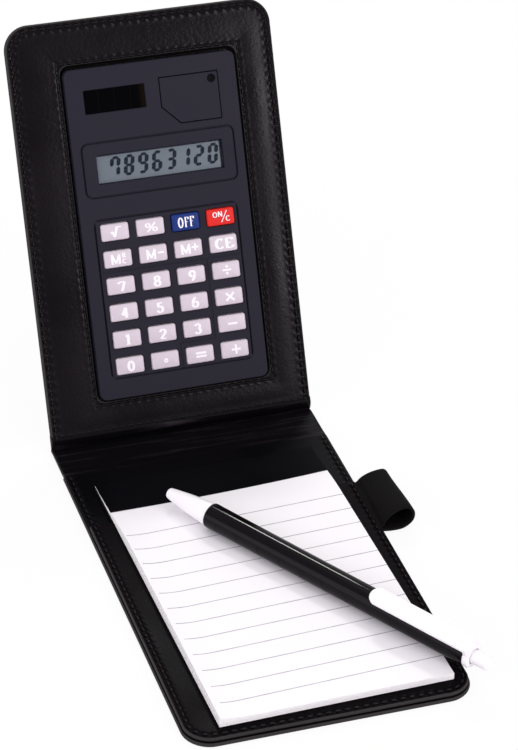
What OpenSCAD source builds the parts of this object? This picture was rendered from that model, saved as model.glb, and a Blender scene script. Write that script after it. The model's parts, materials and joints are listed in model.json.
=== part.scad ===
// Folding leather cover with a pocket calculator in its lid, a memo pad in its base and a pen.
// The base panel lies on the table with its underside's centre at the origin, +Y towards the spine.

/* [Cover] */
// Width of the cover beside the pad
cover_side = 7.9; // [6.5:0.1:14]
// Radius of the free corners
corner_r = 8.5; // [4:0.5:12]
// Width of the spine between its two creases
spine_w = 15.1; // [14:0.1:24]
// Angle that the lid stands up from flat
lid_tilt = 64; // [40:1:80]
// Thickness of the outer leather
skin_t = 1; // [0.8:0.1:1.4]
// Thickness of the base's stiffening board
base_board_t = 0.8; // [0.6:0.1:1.6]
// Thickness of the lid's stiffening board
lid_board_t = 1.4; // [1:0.1:2]
// Thickness of the base's lining leather
lining_t = 0.4; // [0.3:0.1:0.8]
// Thickness of the spine's lining
spine_lining_t = 0.8; // [0.5:0.1:1]
// Thickness of the window leather on the lid
frame_t = 1.2; // [0.8:0.1:1.6]
// Width of the sewn hem around the boards
hem_w = 4; // [3:0.5:5]
// Gap between a fold bead and the panel beside it
crease_gap = 0.3; // [0.2:0.05:0.4]
// Gap around each board inside its hem
board_clear = 0.15; // [0.1:0.05:0.3]

/* [Pocket] */
// Thickness of the pocket leather
pocket_t = 0.6; // [0.4:0.1:1]
// Length of the pocket from the front edge to its mouth
pocket_l = 110.8; // [100:0.1:112]
// Width of the sewn rim around the pocket
pocket_rim = 3.4; // [2.5:0.1:4]

/* [Pen loop] */
// Inside diameter of the elastic loop
loop_bore = 9.2; // [9:0.1:12]
// Thickness of the elastic
loop_t = 1.1; // [0.8:0.1:1.6]
// Width of the elastic along the edge
loop_l = 25.4; // [15:0.1:35]
// Distance from the base's crease to the loop's middle
loop_back = 45.75; // [30:0.05:100]
// Length of the elastic sewn in under the lining
loop_tongue = 3; // [2:0.1:3.5]

/* [Notepad] */
// Width of the memo pad
pad_w = 76.2; // [70:0.1:78]
// Length of the memo pad
pad_l = 127; // [122:0.1:128]
// Place of the pad's middle across the base
pad_x = 1.1; // [0:0.1:1.4]
// Distance from the base's front edge to the pad
pad_front = 4.95; // [4.75:0.05:5.5]
// Distance from the pad to the base's crease
pad_rear = 11.15; // [10:0.05:16]
// How far the pad lies turned in its pocket
pad_turn = 1.3; // [0:0.1:1.5]
// Thickness of the pad's card back
card_t = 0.5; // [0.4:0.1:0.8]
// Thickness of the block of pages
pages_t = 2.3; // [1.5:0.1:4]
// Thickness of the top sheet
sheet_t = 0.2; // [0.1:0.05:0.3]
// Width of the binding strip
strip_w = 17.3; // [10:0.1:18.5]
// Thickness of the binding strip
strip_t = 0.3; // [0.2:0.05:0.5]
// Gap around the pad's card and pages where they slide
pad_clear = 0.1; // [0.05:0.05:0.2]

/* [Calculator] */
// Width of the calculator
calc_w = 59.5; // [58:0.1:64]
// Length of the calculator
calc_l = 111.9; // [110:0.1:118]
// Corner radius of the calculator
calc_r = 2.5; // [1.5:0.1:3]
// Place of the calculator's middle across the lid
calc_x = 1.8; // [-2:0.1:4]
// How far the calculator sits below the middle of the lid
calc_drop = 0.7; // [0:0.1:2]
// Gap between the calculator and the window around it
window_gap = 0.5; // [0.3:0.1:1]
// Thickness of the calculator's face
face_t = 1.2; // [1:0.1:1.4]
// Thickness of the calculator's back
back_t = 0.7; // [0.6:0.1:1]
// Thickness of the calculator's side walls
wall_t = 1.4; // [1.2:0.1:1.6]
// Height of the back case's walls above its floor
back_wall_h = 1.3; // [1.2:0.1:1.5]
// Width of the grooves moulded in the face
groove_w = 0.5; // [0.3:0.1:0.8]
// Depth of the grooves moulded in the face
groove_d = 0.3; // [0.2:0.05:0.4]
// Gap between moulded pieces that fit together
fit_gap = 0.1; // [0.05:0.05:0.15]

/* [Display] */
// Width of the visible display
lcd_w = 42.4; // [38:0.1:44]
// Height of the visible display
lcd_l = 9.7; // [8:0.1:11]
// Distance from the calculator's top edge to the display's middle
lcd_down = 34.2; // [32:0.1:35]
// Width of the border of clear window behind the face
lcd_border = 1.5; // [1:0.1:2]
// Width of the sealed edge of the display glass past the window
lcd_seal = 0.8; // [0.5:0.1:1]
// Thickness of the clear window
lcd_window_t = 0.5; // [0.4:0.05:0.6]
// Thickness of the display glass
lcd_glass_t = 1; // [0.8:0.05:1]
// Width of the bezel groove around the display
bezel_w = 53.5; // [50:0.1:55]
// Height of the bezel groove around the display
bezel_l = 18.7; // [15:0.1:20]
// Width of the contact strip under the display
zebra_w = 1.6; // [1.2:0.1:2]

/* [Solar cell] */
// Width of the solar window
solar_w = 21.1; // [18:0.1:22]
// Height of the solar window
solar_l = 7.9; // [6:0.1:9]
// Distance from the calculator's middle to the solar window's left edge
solar_left = 23.6; // [23:0.1:25]
// Distance from the calculator's top edge to the solar window
solar_down = 7.4; // [6:0.1:9]
// Width of the cell's edge behind the face
solar_border = 0.8; // [0.5:0.1:1.2]
// Depth of the solar window
solar_depth = 0.6; // [0.5:0.05:0.7]
// Thickness of the cell
solar_t = 1.2; // [0.8:0.1:1.4]

/* [Battery] */
// Width of the battery door
door_w = 20.7; // [19:0.1:21]
// Length of the battery door
door_l = 16.2; // [15:0.1:17]
// Length of the door's slanted corner
door_cut = 6.2; // [4:0.1:7]
// Distance from the calculator's middle to the door's right edge
door_right = 23.3; // [22:0.1:24]
// Distance from the calculator's top edge to the door
door_down = 6.1; // [5.5:0.1:7]
// Thickness of the battery door
door_t = 0.9; // [0.8:0.05:1]
// Width of the ledge that the door sits on
door_ledge = 1.2; // [0.8:0.1:1.4]
// Distance from the door's edges to its screw
door_screw_in = 2.4; // [2:0.1:2.8]
// Diameter of the button cell
cell_d = 11.6; // [10:0.1:11.6]
// Thickness of the button cell
cell_t = 2.05; // [1.8:0.05:2.1]
// Thickness of the contact springs
contact_t = 0.2; // [0.15:0.05:0.25]

/* [Screws] */
// Shank diameter of the small screws
screw_d = 1.5; // [1.2:0.1:1.6]
// Head diameter of the small screws
screw_head_d = 2.6; // [2.4:0.1:2.8]
// Head height of the small screws
screw_head_h = 0.4; // [0.3:0.05:0.4]
// Diameter of the screw bosses
boss_d = 3.4; // [3:0.1:3.5]
// Distance from the calculator's edges to a case screw
boss_in = 3.4; // [3.2:0.1:3.6]

/* [Keys] */
// Distance between key columns
key_pitch_x = 12.36; // [12:0.01:12.4]
// Distance between key rows
key_pitch_y = 9.12; // [8.8:0.01:9.2]
// Width of a key
key_w = 9.9; // [9:0.1:10]
// Height of a key on the face
key_l = 6.2; // [5.5:0.1:6.4]
// Corner radius of a key
key_r = 1; // [0.5:0.1:1.5]
// How far a key stands above the face
key_rise = 1; // [0.8:0.1:1.4]
// Travel of a key
key_travel = 0.6; // [0.4:0.05:0.6]
// Gap around a key in its hole
key_gap = 0.25; // [0.2:0.05:0.3]
// Width of a key's flange behind the face
flange_w = 0.6; // [0.4:0.05:0.7]
// Thickness of a key's flange
flange_t = 0.4; // [0.3:0.05:0.4]
// How far the keys sit below the middle of the space under the display
key_drop = 0.2; // [0:0.1:0.5]
// Width of the groove around the keys
key_field_w = 50.4; // [49.5:0.1:52]
// Height of the groove around the keys
key_field_l = 54.4; // [53.5:0.1:56]

/* [Circuit] */
// Thickness of the circuit board
pcb_t = 0.7; // [0.6:0.05:0.8]
// Width of the circuit board
pcb_w = 48.4; // [46:0.1:48.8]
// Height of the pads that carry the circuit board
pcb_pad_h = 0.2; // [0.1:0.05:0.3]
// Thickness of the rubber keypad's sheet
mat_t = 0.25; // [0.2:0.05:0.3]
// Diameter of the rubber domes
dome_d = 4.8; // [3:0.1:5]
// Diameter of the blob over the chip
chip_d = 4.4; // [3:0.1:5]
// Height of the blob over the chip
chip_h = 0.3; // [0.2:0.05:0.35]

/* [Pen] */
// Diameter of the pen's barrel
pen_d = 8.6; // [8:0.1:9]
// Length of the barrel
barrel_l = 104.5; // [95:0.5:112]
// Bore of the barrel
barrel_bore = 6.6; // [6.2:0.1:7]
// Length of the nose
nose_l = 18; // [15:0.5:22]
// Diameter of the nose at the barrel
nose_d = 7.8; // [7.4:0.1:8]
// Diameter of the nose at its tip
tip_d = 3.8; // [3.4:0.1:4.4]
// Length of the plugs that hold the nose and the clip in the barrel
plug_l = 6; // [5:0.5:8]
// Length of the collar at the barrel's rear end
collar_l = 2; // [1:0.5:4]
// Diameter of the plunger
plunger_d = 4.8; // [4:0.1:5]
// Length of the plunger that stands out at rest
plunger_out = 6.5; // [6.5:0.5:12]
// Travel of the plunger
click_travel = 5; // [4:0.5:6]
// Width of the clip
clip_w = 6; // [5:0.1:7]
// Thickness of the clip
clip_t = 1.4; // [1:0.1:1.8]
// Length of the clip from its free end to the barrel's rear end
clip_l = 37; // [25:0.5:45]
// Gap between the clip and the barrel
clip_gap = 0.8; // [0.5:0.1:1.5]
// Distance from the pad's middle to the nose's tip, to the left
pen_left = 19.7; // [15:0.1:23]
// Distance from the pad's bound end to the nose's tip
pen_back = 19.5; // [16:0.1:24]
// Heading of the pen, seen from above
pen_heading = -58.1; // [-62:0.1:-54]
// How far the clip is rolled round from the top
pen_roll = 22; // [0:1:30]
// Gap between the pen and the paper
pen_rest_gap = 0.15; // [0.1:0.05:0.3]

/* [Refill] */
// Diameter of the ink tube
refill_d = 3; // [2.6:0.1:3]
// Diameter of the writing tip
ball_d = 1.8; // [1.4:0.1:1.8]
// Length of the writing tip
ball_l = 9; // [8:0.5:10]
// Depth of the writing tip inside the nose at rest
ball_in = 2; // [1:0.5:3]
// Diameter of the refill's crimped ears
ears_d = 4.6; // [4.4:0.05:4.6]
// Thickness of the refill's crimped ears
ears_t = 1; // [0.6:0.1:1.5]
// Gap around the sliding pieces inside the pen
slide_gap = 0.2; // [0.15:0.05:0.25]
// Wire diameter of the return spring
spring_wire = 0.4; // [0.3:0.05:0.4]
// Turns of the return spring
spring_turns = 8; // [5:1:10]

/* [Hidden] */
KEY_NAMES = [
    "key_sqrt", "key_percent", "key_off", "key_on_clear",
    "key_mrc", "key_m_minus", "key_m_plus", "key_clear_entry",
    "key_7", "key_8", "key_9", "key_divide",
    "key_4", "key_5", "key_6", "key_multiply",
    "key_1", "key_2", "key_3", "key_minus",
    "key_0", "key_point", "key_equals", "key_plus"
];
$fn = 64;
cut = 0.01;

// The cover takes its size from the pad, and the lid is as long as the base
panel_w = pad_w + 2 * cover_side;
panel_l = pad_front + pad_l + pad_rear;
pad_y = pad_front + (pad_l - panel_l) / 2;

// Creases: the fold beads are round, and a panel starts one bead and one gap away from its axis
bead_r = skin_t / 2;
crease_edge = bead_r + crease_gap;
base_axis_y = panel_l / 2;
lid_axis_y = base_axis_y + spine_w;
// The lid's inner layers start far enough from the crease to clear the spine's lining when it folds
lid_inner_edge = bead_r + spine_lining_t + crease_gap;

// Heights in the base
base_lining_z = skin_t + base_board_t;
card_z = base_lining_z + lining_t;
pocket_z = card_z + card_t + pad_clear;
pocket_top = pocket_z + pocket_t;
pages_z = pocket_top + pad_clear / 2;
sheet_z = pages_z + pages_t;
strip_z = sheet_z + sheet_t;
pocket_mouth_y = pocket_l - panel_l / 2;
// The spine's lining starts far enough from a crease to pass over the base's layers when it folds
lining_edge = card_z - bead_r + crease_gap;

// Pad: the bound block behind the pocket's mouth clears the mouth at the pad's turn
bound_l = pad_y + pad_l / 2 - pocket_mouth_y - pad_w / 2 * sin(pad_turn) - 3 * pad_clear;

// Heights in the lid, counted from the cover's outer face
calc_z = skin_t;
floor_z = calc_z + back_t;
split_z = floor_z + back_wall_h;
// The room inside the calculator takes the keys on their circuit board, and the button cell
key_stack_h = pcb_pad_h + pcb_t + mat_t + key_travel + flange_t + fit_gap + fit_gap / 2;
cell_stack_h = contact_t + cell_t + fit_gap / 2;
face_z = floor_z + max(key_stack_h, cell_stack_h);
face_top = face_z + face_t;
calc_mid_v = panel_l / 2 - calc_drop;
calc_top_v = calc_mid_v + calc_l / 2;
calc_low_v = calc_mid_v - calc_l / 2;

// Stack inside the calculator
pcb_z = floor_z + pcb_pad_h;
pcb_top = pcb_z + pcb_t;
flange_top = face_z - fit_gap;
flange_z = flange_top - flange_t;
lcd_z = face_z - lcd_glass_t;
lcd_v = calc_top_v - lcd_down;
key_rows = 6;
key_columns = 4;
function_rows = 2;
key_mid_v = (lcd_v - bezel_l / 2 + calc_low_v) / 2 - key_drop;
key_v = key_mid_v + (key_rows - 1) / 2 * key_pitch_y;
lcd_glass_border = lcd_border + lcd_seal;
zebra_v = lcd_v - lcd_l / 2 - lcd_glass_border + zebra_w / 2;
pcb_low_v = key_mid_v - key_field_l / 2 + groove_w;
pcb_high_v = lcd_v + lcd_l / 2;
solar_x = calc_x - solar_left + solar_w / 2;
solar_v = calc_top_v - solar_down - solar_l / 2;
door_x = calc_x + door_right - door_w / 2;
door_v = calc_top_v - door_down - door_l / 2;
door_z = face_top - door_t;
door_screw_x = door_x + door_w / 2 - door_screw_in;
door_screw_v = door_v + door_l / 2 - door_screw_in;
cell_x = door_x + door_ledge / 2;
cell_v = door_v - door_ledge;
cell_z = floor_z + contact_t;

// Elastic loop: its tube rests on the table beside the base's right edge
loop_r = loop_bore / 2 + loop_t;
loop_x = panel_w / 2 + loop_r;
loop_y = base_axis_y - loop_back;
tongue_t = base_board_t - board_clear / 2;

// Pen: s runs along the axis from the tip of the nose to the plunger
barrel_s = nose_l;
rear_s = barrel_s + barrel_l;
collar_s = rear_s + collar_l;
plunger_end_s = collar_s + plunger_out;
plunger_s = rear_s - plug_l + slide_gap;
plug_d = barrel_bore - fit_gap;
spring_bore = ears_d + 2 * slide_gap;
spring_seat_s = nose_l - plug_l;
ears_s = nose_l + plug_l + slide_gap;
spring_start_s = spring_seat_s + slide_gap / 2 + spring_wire / 2;
spring_end_s = ears_s - slide_gap / 2 - spring_wire / 2;
spring_r = (refill_d + ears_d) / 4;
pen_x = pad_x - pen_left;
pen_y = pad_y + pad_l / 2 - pen_back;
pen_axis_z = strip_z + pen_rest_gap + pen_d / 2;
clip_low = pen_d / 2 + clip_gap;
clip_high = clip_low + clip_t;

// Colours
leather = [0.06, 0.055, 0.06];
leather_inside = [0.05, 0.05, 0.06];
card_grey = [0.45, 0.42, 0.38];
slate = [0.21, 0.21, 0.25];
steel = [0.7, 0.7, 0.72];
paper = [0.97, 0.97, 0.98];
gloss_black = [0.03, 0.03, 0.035];
white = [0.95, 0.95, 0.95];
key_pale = [0.88, 0.82, 0.84];
key_blue = [0.1, 0.2, 0.6];
key_red = [0.8, 0.15, 0.12];
off_key = 2;
on_key = 3;

// Flat shapes

// Rectangle with four round corners, about its middle
module rounded_rect(w, l, r) {
    square([w - 2 * r, l], center = true);
    square([w, l - 2 * r], center = true);
    for (x = [-1, 1], y = [-1, 1])
        translate([x * (w / 2 - r), y * (l / 2 - r)]) circle(r);
}

// Panel from y = 0 to its round-cornered free edge at y = l
module panel_shape(w, l, r) {
    translate([-w / 2, 0]) square([w, l - r]);
    translate([-w / 2 + r, 0]) square([w - 2 * r, l]);
    for (x = [-1, 1])
        translate([x * (w / 2 - r), l - r]) circle(r);
}

// Same panel drawn in by an equal width on all its edges, with its crease edge at y = start
module inset_panel(inset, start) {
    intersection() {
        panel_shape(panel_w - 2 * inset, panel_l - inset, corner_r - inset / 2);
        translate([-panel_w, start]) square([2 * panel_w, 2 * panel_l]);
    }
}

// Rectangle with one slanted corner at its lower left, about its middle
module door_shape(inset) {
    x = door_w / 2 - inset;
    y = door_l / 2 - inset;
    slant = door_cut - inset * (2 - sqrt(2));
    polygon([[-x, -y + slant], [-x + slant, -y], [x, -y], [x, y], [-x, y]]);
}

// Places

// Base panel: y counts from the base's crease towards the front edge
module in_base(z) {
    translate([0, base_axis_y, z]) rotate([0, 0, 180]) children();
}

// Lid panel: y counts from the lid's crease towards its free edge, z from the outer face
module in_lid() {
    translate([0, lid_axis_y, bead_r])
        rotate([lid_tilt, 0, 0])
            translate([0, 0, -bead_r]) children();
}

// Calculator: x counts from its middle line
module in_calc(v, z) {
    in_lid() translate([calc_x, v, z]) children();
}

// Pad: x and y count from its middle
module in_pad(z) {
    translate([pad_x, pad_y, z]) rotate([0, 0, pad_turn]) children();
}

// Pen: x runs along its axis from the tip of the nose
module in_pen() {
    translate([pen_x, pen_y, pen_axis_z])
        rotate([0, 0, pen_heading]) rotate([pen_roll, 0, 0]) children();
}

// Turned piece of the pen, from a profile of [radius, s] points
module turned(profile) {
    rotate([0, 90, 0]) rotate_extrude() polygon(profile);
}

// Cover, base panel

module base_outer_cover() {
    color(leather) in_base(0) linear_extrude(skin_t) inset_panel(0, crease_edge);
}

module base_board() {
    color(card_grey) in_base(skin_t)
        linear_extrude(base_board_t) inset_panel(hem_w + board_clear, hem_w + board_clear);
}

module base_lining() {
    color(leather_inside) difference() {
        in_base(skin_t) linear_extrude(base_board_t + lining_t) inset_panel(0, crease_edge);
        in_base(skin_t - cut) linear_extrude(base_board_t + cut) inset_panel(hem_w, hem_w);
        translate([panel_w / 2 - loop_tongue - board_clear, loop_y - loop_l / 2 - board_clear, skin_t - cut])
            cube([panel_w, loop_l + 2 * board_clear, base_board_t + cut]);
    }
}

module base_pocket() {
    color(leather) difference() {
        intersection() {
            in_base(card_z) linear_extrude(pocket_top - card_z) inset_panel(0, crease_edge);
            translate([-panel_w, -panel_l, 0]) cube([2 * panel_w, panel_l + pocket_mouth_y, pocket_top]);
        }
        in_base(card_z - cut)
            linear_extrude(pocket_z - card_z + cut) inset_panel(pocket_rim, crease_edge);
    }
}

module pen_loop() {
    color(gloss_black) translate([0, loop_y + loop_l / 2, 0])
        rotate([90, 0, 0]) linear_extrude(loop_l) difference() {
            union() {
                translate([loop_x, loop_r]) circle(loop_r);
                translate([panel_w / 2 - loop_tongue, skin_t])
                    square([loop_tongue + loop_r, tongue_t]);
            }
            translate([loop_x, loop_r]) circle(loop_bore / 2);
        }
}

// Cover, spine

module spine_cover() {
    color(leather) translate([-panel_w / 2, base_axis_y, bead_r])
        rotate([90, 0, 90]) linear_extrude(panel_w) {
            translate([0, -bead_r]) square([spine_w, skin_t]);
            circle(bead_r);
            translate([spine_w, 0]) circle(bead_r);
        }
}

module spine_lining() {
    color(leather_inside) translate([-panel_w / 2, base_axis_y + lining_edge, skin_t])
        cube([panel_w, spine_w - 2 * lining_edge, spine_lining_t]);
}

// Cover, lid panel

module lid_outer_cover() {
    color(leather) in_lid() linear_extrude(skin_t) inset_panel(0, crease_edge);
}

module lid_board() {
    color(card_grey) in_lid() translate([0, 0, skin_t]) linear_extrude(lid_board_t) difference() {
        inset_panel(hem_w + board_clear, hem_w + board_clear);
        calc_outline(window_gap);
    }
}

module lid_frame() {
    color(leather) in_lid() difference() {
        translate([0, 0, skin_t]) linear_extrude(lid_board_t + frame_t) inset_panel(0, lid_inner_edge);
        translate([0, 0, skin_t - cut]) linear_extrude(lid_board_t + cut) inset_panel(hem_w, hem_w);
        translate([0, 0, skin_t]) linear_extrude(lid_board_t + frame_t + cut) calc_outline(window_gap);
    }
}

// Calculator

// Outline of the calculator on the lid, grown by a margin
module calc_outline(margin) {
    translate([calc_x, calc_mid_v])
        rounded_rect(calc_w + 2 * margin, calc_l + 2 * margin, calc_r + margin);
}

// Moulded groove around a rectangle on the face
module face_groove(v, w, l) {
    in_calc(v, face_top - groove_d) linear_extrude(groove_d + cut) difference() {
        rounded_rect(w, l, calc_r);
        rounded_rect(w - 2 * groove_w, l - 2 * groove_w, calc_r - groove_w);
    }
}

// Straight groove on the face between two points, along x or along y
module face_line(from, to) {
    in_calc(0, face_top - groove_d) translate([from[0] - groove_w / 2, from[1] - groove_w / 2, 0])
        cube([to[0] - from[0] + groove_w, to[1] - from[1] + groove_w, groove_d + cut]);
}

// Grooves that part the keys into functions, digits and signs
module key_group_lines() {
    field_x = (key_field_w - groove_w) / 2;
    field_low_v = key_mid_v - (key_field_l - groove_w) / 2;
    functions_v = key_v - (function_rows - 1 / 2) * key_pitch_y;
    digits_v = key_v - (key_rows - 1 - 1 / 2) * key_pitch_y;
    face_line([-field_x, functions_v], [field_x, functions_v]);
    face_line([key_pitch_x, digits_v], [key_pitch_x, functions_v]);
    face_line([0, digits_v], [key_pitch_x, digits_v]);
    face_line([0, field_low_v], [0, digits_v]);
}

// Places of the four case screws, from the calculator's middle
module at_case_screws(z) {
    in_calc(calc_mid_v, z)
        for (x = [-1, 1], y = [-1, 1])
            translate([x * (calc_w / 2 - boss_in), y * (calc_l / 2 - boss_in), 0]) children();
}

// Places of the keys, row by row from the top left
function key_x(i) = (i % key_columns - (key_columns - 1) / 2) * key_pitch_x;
function key_row_v(i) = key_v - floor(i / key_columns) * key_pitch_y;

module calc_front_case() {
    color(slate) difference() {
        union() {
            difference() {
                in_lid() translate([0, 0, split_z]) linear_extrude(face_top - split_z) calc_outline(0);
                in_lid() translate([0, 0, split_z - cut])
                    linear_extrude(face_z - split_z + cut) calc_outline(-wall_t);
                in_calc(door_v, face_z - cut) translate([door_x - calc_x, 0, 0])
                    linear_extrude(face_t + 2 * cut) door_shape(door_ledge);
                in_calc(door_v, door_z) translate([door_x - calc_x, 0, 0])
                    linear_extrude(door_t + cut) door_shape(0);
            }
            at_case_screws(split_z) cylinder(d = boss_d, h = face_z - split_z + cut);
            in_calc(door_screw_v, split_z) translate([door_screw_x - calc_x, 0, 0])
                cylinder(d = boss_d, h = door_z - split_z);
        }
        at_case_screws(split_z - cut) cylinder(d = screw_d, h = face_z - split_z);
        in_calc(door_screw_v, split_z - cut) translate([door_screw_x - calc_x, 0, 0])
            cylinder(d = screw_d + 2 * fit_gap, h = face_t + face_z);
        for (i = [0 : len(KEY_NAMES) - 1])
            in_calc(key_row_v(i), face_z - cut) translate([key_x(i), 0, 0])
                linear_extrude(face_t + 2 * cut)
                    rounded_rect(key_w + 2 * key_gap, key_l + 2 * key_gap, key_r + key_gap);
        in_calc(lcd_v, face_z - cut) linear_extrude(face_t + 2 * cut) square([lcd_w, lcd_l], center = true);
        in_calc(lcd_v, face_z - cut) linear_extrude(lcd_window_t + cut)
            square([lcd_w + 2 * lcd_border, lcd_l + 2 * lcd_border], center = true);
        in_calc(solar_v, face_z - cut) translate([solar_x - calc_x, 0, 0])
            linear_extrude(face_t + 2 * cut) square([solar_w, solar_l], center = true);
        in_calc(solar_v, face_z - cut) translate([solar_x - calc_x, 0, 0])
            linear_extrude(face_t - solar_depth + cut)
                square([solar_w + 2 * solar_border, solar_l + 2 * solar_border], center = true);
        face_groove(lcd_v, bezel_w, bezel_l);
        face_groove(key_mid_v, key_field_w, key_field_l);
        key_group_lines();
    }
}

module calc_back_case() {
    color(slate) difference() {
        union() {
            difference() {
                in_lid() translate([0, 0, calc_z]) linear_extrude(split_z - calc_z) calc_outline(0);
                in_lid() translate([0, 0, floor_z])
                    linear_extrude(split_z - floor_z + cut) calc_outline(-wall_t);
            }
            at_case_screws(calc_z) cylinder(d = boss_d, h = split_z - calc_z);
            for (x = [-1, 1], v = [pcb_low_v + boss_d, pcb_high_v - boss_d])
                in_calc(v, calc_z) translate([x * (pcb_w / 2 - boss_d), 0, 0])
                    cylinder(d = boss_d, h = pcb_z - calc_z);
        }
        at_case_screws(calc_z - cut) cylinder(d = screw_d + 2 * fit_gap, h = split_z);
        at_case_screws(calc_z - cut)
            cylinder(d = screw_head_d + 2 * fit_gap, h = screw_head_h + fit_gap + cut);
    }
}

module lcd_window() {
    color([0.6, 0.65, 0.65, 0.4]) in_calc(lcd_v, face_z) linear_extrude(lcd_window_t)
        square([lcd_w + 2 * (lcd_border - fit_gap), lcd_l + 2 * (lcd_border - fit_gap)], center = true);
}

module lcd_glass() {
    color([0.55, 0.6, 0.58]) in_calc(lcd_v, lcd_z) linear_extrude(lcd_glass_t)
        square([lcd_w + 2 * lcd_glass_border, lcd_l + 2 * lcd_glass_border], center = true);
}

module zebra_strip() {
    color(gloss_black) in_calc(zebra_v, pcb_top) linear_extrude(lcd_z - pcb_top)
        square([lcd_w, zebra_w], center = true);
}

module circuit_board() {
    color([0.1, 0.3, 0.18]) in_calc((pcb_low_v + pcb_high_v) / 2, pcb_z) linear_extrude(pcb_t)
        square([pcb_w, pcb_high_v - pcb_low_v], center = true);
}

module chip_blob() {
    color(gloss_black) in_calc(lcd_v, pcb_top) cylinder(d1 = chip_d, d2 = chip_d - 2 * chip_h, h = chip_h);
}

module rubber_keypad() {
    color([0.3, 0.3, 0.32]) {
        in_calc(key_mid_v, pcb_top) linear_extrude(mat_t)
            square([pcb_w, key_field_l - 2 * groove_w], center = true);
        for (i = [0 : len(KEY_NAMES) - 1])
            in_calc(key_row_v(i), pcb_top) translate([key_x(i), 0, 0])
                cylinder(d = dome_d, h = flange_z - pcb_top);
    }
}

module solar_cell() {
    color([0.05, 0.04, 0.05]) in_calc(solar_v, face_top - solar_depth - solar_t)
        translate([solar_x - calc_x, 0, 0]) linear_extrude(solar_t)
            square([solar_w + 2 * (solar_border - fit_gap), solar_l + 2 * (solar_border - fit_gap)], center = true);
}

module button_cell() {
    color(steel) in_calc(cell_v, cell_z) translate([cell_x - calc_x, 0, 0]) cylinder(d = cell_d, h = cell_t);
}

module battery_contacts() {
    color(steel) in_calc(cell_v, floor_z) translate([cell_x - calc_x, 0, 0]) {
        linear_extrude(contact_t) square([cell_d, cell_d / 2], center = true);
        translate([-cell_d / 2 - fit_gap - contact_t, -cell_d / 4, contact_t + fit_gap])
            cube([contact_t, cell_d / 2, cell_t - contact_t]);
    }
}

module case_screws() {
    color(steel) {
        at_case_screws(calc_z) cylinder(d = screw_head_d, h = screw_head_h);
        at_case_screws(calc_z) cylinder(d = screw_d - 2 * fit_gap, h = face_z - calc_z - 2 * fit_gap);
    }
}

module battery_door() {
    color(slate) in_calc(door_v, door_z) translate([door_x - calc_x, 0, 0]) difference() {
        linear_extrude(door_t) door_shape(key_gap);
        translate([door_screw_x - door_x, door_screw_v - door_v, -cut])
            cylinder(d = screw_d + 2 * fit_gap, h = door_t + 2 * cut);
        translate([door_screw_x - door_x, door_screw_v - door_v, door_t - screw_head_h - fit_gap])
            cylinder(d = screw_head_d + 2 * fit_gap, h = door_t);
    }
}

module battery_door_screw() {
    head_z = face_top - screw_head_h - fit_gap;
    color(steel) in_calc(door_screw_v, 0) translate([door_screw_x - calc_x, 0, 0]) {
        translate([0, 0, head_z]) cylinder(d = screw_head_d, h = screw_head_h);
        translate([0, 0, split_z + fit_gap]) cylinder(d = screw_d, h = head_z - split_z - fit_gap + cut);
    }
}

// One key: its flange behind the face and its cap through the hole
module key(i) {
    key_color = i == off_key ? key_blue : i == on_key ? key_red : key_pale;
    color(key_color) in_calc(key_row_v(i), 0) translate([key_x(i), 0, 0]) {
        translate([0, 0, flange_z]) linear_extrude(flange_t)
            rounded_rect(key_w + 2 * flange_w, key_l + 2 * flange_w, key_r + flange_w);
        translate([0, 0, flange_z]) linear_extrude(face_top + key_rise - flange_z)
            rounded_rect(key_w, key_l, key_r);
    }
}

// Notepad

module pad_card_back() {
    color(card_grey) in_pad(card_z) linear_extrude(card_t) square([pad_w, pad_l], center = true);
}

module pad_pages() {
    color(paper) in_pad(0) {
        translate([-pad_w / 2, -pad_l / 2, pages_z]) cube([pad_w, pad_l - strip_t, pages_t]);
        translate([-pad_w / 2, pad_l / 2 - bound_l, card_z + card_t])
            cube([pad_w, bound_l - strip_t, pages_z - card_z - card_t + cut]);
    }
}

module pad_top_sheet() {
    color(paper) in_pad(sheet_z) translate([-pad_w / 2, -pad_l / 2, 0])
        cube([pad_w, pad_l - strip_t, sheet_t]);
}

module pad_binding_strip() {
    color(gloss_black) in_pad(0) {
        translate([-pad_w / 2, pad_l / 2 - strip_w, strip_z]) cube([pad_w, strip_w, strip_t]);
        translate([-pad_w / 2, pad_l / 2 - strip_t, card_z + card_t])
            cube([pad_w, strip_t, strip_z - card_z - card_t + cut]);
    }
}

// Pen

module pen_barrel() {
    edge = (pen_d - barrel_bore) / 4;
    color(gloss_black) in_pen() turned([
        [barrel_bore / 2, barrel_s],
        [pen_d / 2 - edge, barrel_s],
        [pen_d / 2, barrel_s + edge],
        [pen_d / 2, rear_s],
        [barrel_bore / 2, rear_s]
    ]);
}

module pen_nose() {
    tip_bore = ball_d / 2 + slide_gap;
    tube_bore = refill_d / 2 + slide_gap;
    neck_s = ball_in + ball_l - click_travel - 2 * slide_gap;
    edge = tip_d / 6;
    color(white) in_pen() turned([
        [tip_bore, 0],
        [tip_d / 2 - edge, 0],
        [tip_d / 2, edge],
        [nose_d / 2, nose_l],
        [plug_d / 2, nose_l],
        [plug_d / 2, nose_l + plug_l],
        [spring_bore / 2, nose_l + plug_l],
        [spring_bore / 2, spring_seat_s],
        [tube_bore, spring_seat_s],
        [tube_bore, neck_s],
        [tip_bore, neck_s]
    ]);
}

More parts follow.
